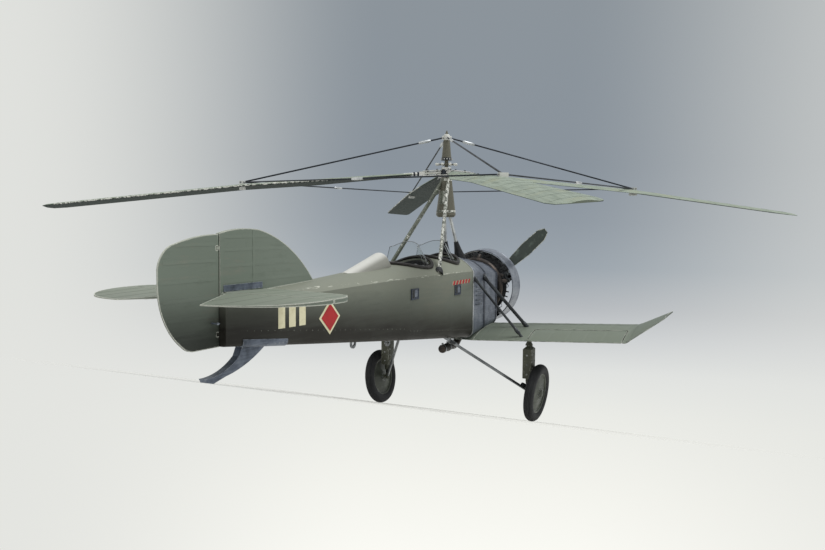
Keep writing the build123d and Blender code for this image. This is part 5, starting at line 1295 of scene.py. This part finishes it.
# Wheels: a ribbed tyre, a rim bead, hub cap, bolts, a ring of bright rivets and the valve
tyreRings = ((0.313, 0.049), (0.322, 0.058), (0.340, 0.068), (0.366, 0.0745), (0.392, 0.0745),
             (0.412, 0.0715), (0.4295, 0.0615), (0.4405, 0.0475),
             (0.4345, 0.0455), (0.4345, 0.0415), (0.4465, 0.0385), (0.4510, 0.0270), (0.4440, 0.0255),
             (0.4440, 0.0215), (0.4540, 0.0195),
             (0.4555, 0.0070), (0.4490, 0.0058))
for side, name in ((1, "left"), (-1, "right")):
    joint = joints["wheel_%s_spin" % name]
    centre = parkedToRig @ Vector(joint["pos_m"])
    axis = toRig @ Vector(joint["axis"])
    if axis.y * side < 0:
        axis = -axis
    seat = aimed(centre, axis)
    body = "wheel_" + name
    bm = bmesh.new()
    outline = list(tyreRings) + [(r, -h) for r, h in reversed(tyreRings)]
    turned(bm, outline + [outline[0]], seat, 88)
    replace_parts(newPiece("ribbedTyre_" + name, bm, "tyreRubber", body, 30.0), "tyre_" + name)
    bm = bmesh.new()
    for face in (1, -1):
        turned(bm, [(0.288, face * 0.040), (0.298, face * 0.050), (0.312, face * 0.052),
                    (0.317, face * 0.046)], seat, 64)
        turned(bm, [(0.062, face * 0.068), (0.088, face * 0.066), (0.092, face * 0.062)], seat, 40)
    turned(bm, [(0.062, 0.060), (0.060, 0.079), (0.052, 0.088), (0.040, 0.091), (0.038, 0.097),
                (0.030, 0.100), (0.0, 0.101)], seat, 32)
    newPiece("wheelTrim_" + name, bm, "wheelEnamel", body)
    bm = bmesh.new()
    for out in spread(8):
        bolt(bm, seat @ (out * 0.078 + Vector((0, 0, 0.0665))), axis, 0.013)
        bolt(bm, seat @ (out * 0.078 - Vector((0, 0, 0.0665))), -axis, 0.013)
        for radius, high in ((0.125, 0.0585), (0.265, 0.0315)):
            rivet(bm, seat @ (out * radius + Vector((0, 0, high))), axis, 0.009)
    rod(bm, seat @ Vector((0.285, 0, 0.030)), seat @ Vector((0.272, 0, 0.062)), 0.006, 10, 0.0045)
    newPiece("wheelBolts_" + name, bm, "plainSteel", body)
print("wing and gear dressed")

# Tail: tapes over the ribs of each surface, on the body that carries it, horns, and rivets on the plates
tapeRows = {
    "rudder": ("rudder", [("level", z, -6.24, -5.49) for z in (2.02, 2.20, 2.38, 2.56, 2.74, 2.90)]),
    "fin": ("airframe", [("level", z, -5.42, -3.90) for z in (2.52, 2.68, 2.84, 2.97)]
            + [("upright", -4.90, 2.38, 3.03), ("upright", -5.41, 2.40, 3.00)]),
    "stabiliser": ("airframe", [("flat", y, -5.36, -4.62) for y in (0.25, 0.50, 0.75, 1.00, 1.18)]),
    "elevator": ("elevator", [("flat", y, -6.24, -5.42) for y in (0.14, 0.38, 0.62, 0.86, 1.08)]),
}
tailTape = {"thick": 0.001, "lift": 0.0016, "over": 0.0026, "width": 0.034}
for name, (body, rows) in tapeRows.items():
    skin = skinOf(name)
    bm = bmesh.new()
    for kind, place, low, high in rows:
        for side in (1, -1):
            if kind == "level":
                sheetOn(bm, skin, (14, 2), lambda u, w: fromSide(side, low + u * (high - low),
                    place + (w - 0.5) * tailTape["width"]), tailTape["lift"], tailTape["thick"])
            elif kind == "upright":
                sheetOn(bm, skin, (2, 14),
                        lambda u, w: fromSide(side, place + (u - 0.5) * tailTape["width"],
                                              low + w * (high - low)), tailTape["over"], tailTape["thick"])
            else:
                for up in (True, False):
                    sheetOn(bm, skin, (14, 2), lambda u, w: fromAbove(up, low + u * (high - low),
                        side * (place + (w - 0.5) * tailTape["width"])), tailTape["lift"],
                        tailTape["thick"])
    newPiece(name + "Tapes", bm, "tailTape", body, 60.0)
bm = bmesh.new()
for side in (1, -1):
    block(bm, Matrix.Translation((-5.545, side * 0.058, 2.13)), (0.040, 0.085, 0.012), 0.004)
    rod(bm, (-5.545, side * 0.088, 2.118), (-5.545, side * 0.088, 2.142), 0.010, 10)
newPiece("rudderHorns", bm, "shoeSteel", "rudder")
plates = skinOf("fin_root_plates", "skid_bracket", "tail_skid")
bm = bmesh.new()
for side in (1, -1):
    studs(bm, plates, [fromSide(side, -5.36 + k * 0.06, 2.425) for k in range(11)], 0.006)
    studs(bm, plates, [fromSide(side, -5.17 + k * 0.055, 1.835) for k in range(12)], 0.006)
newPiece("plateRivets", bm, "plainSteel", "airframe")
print("tail dressed")
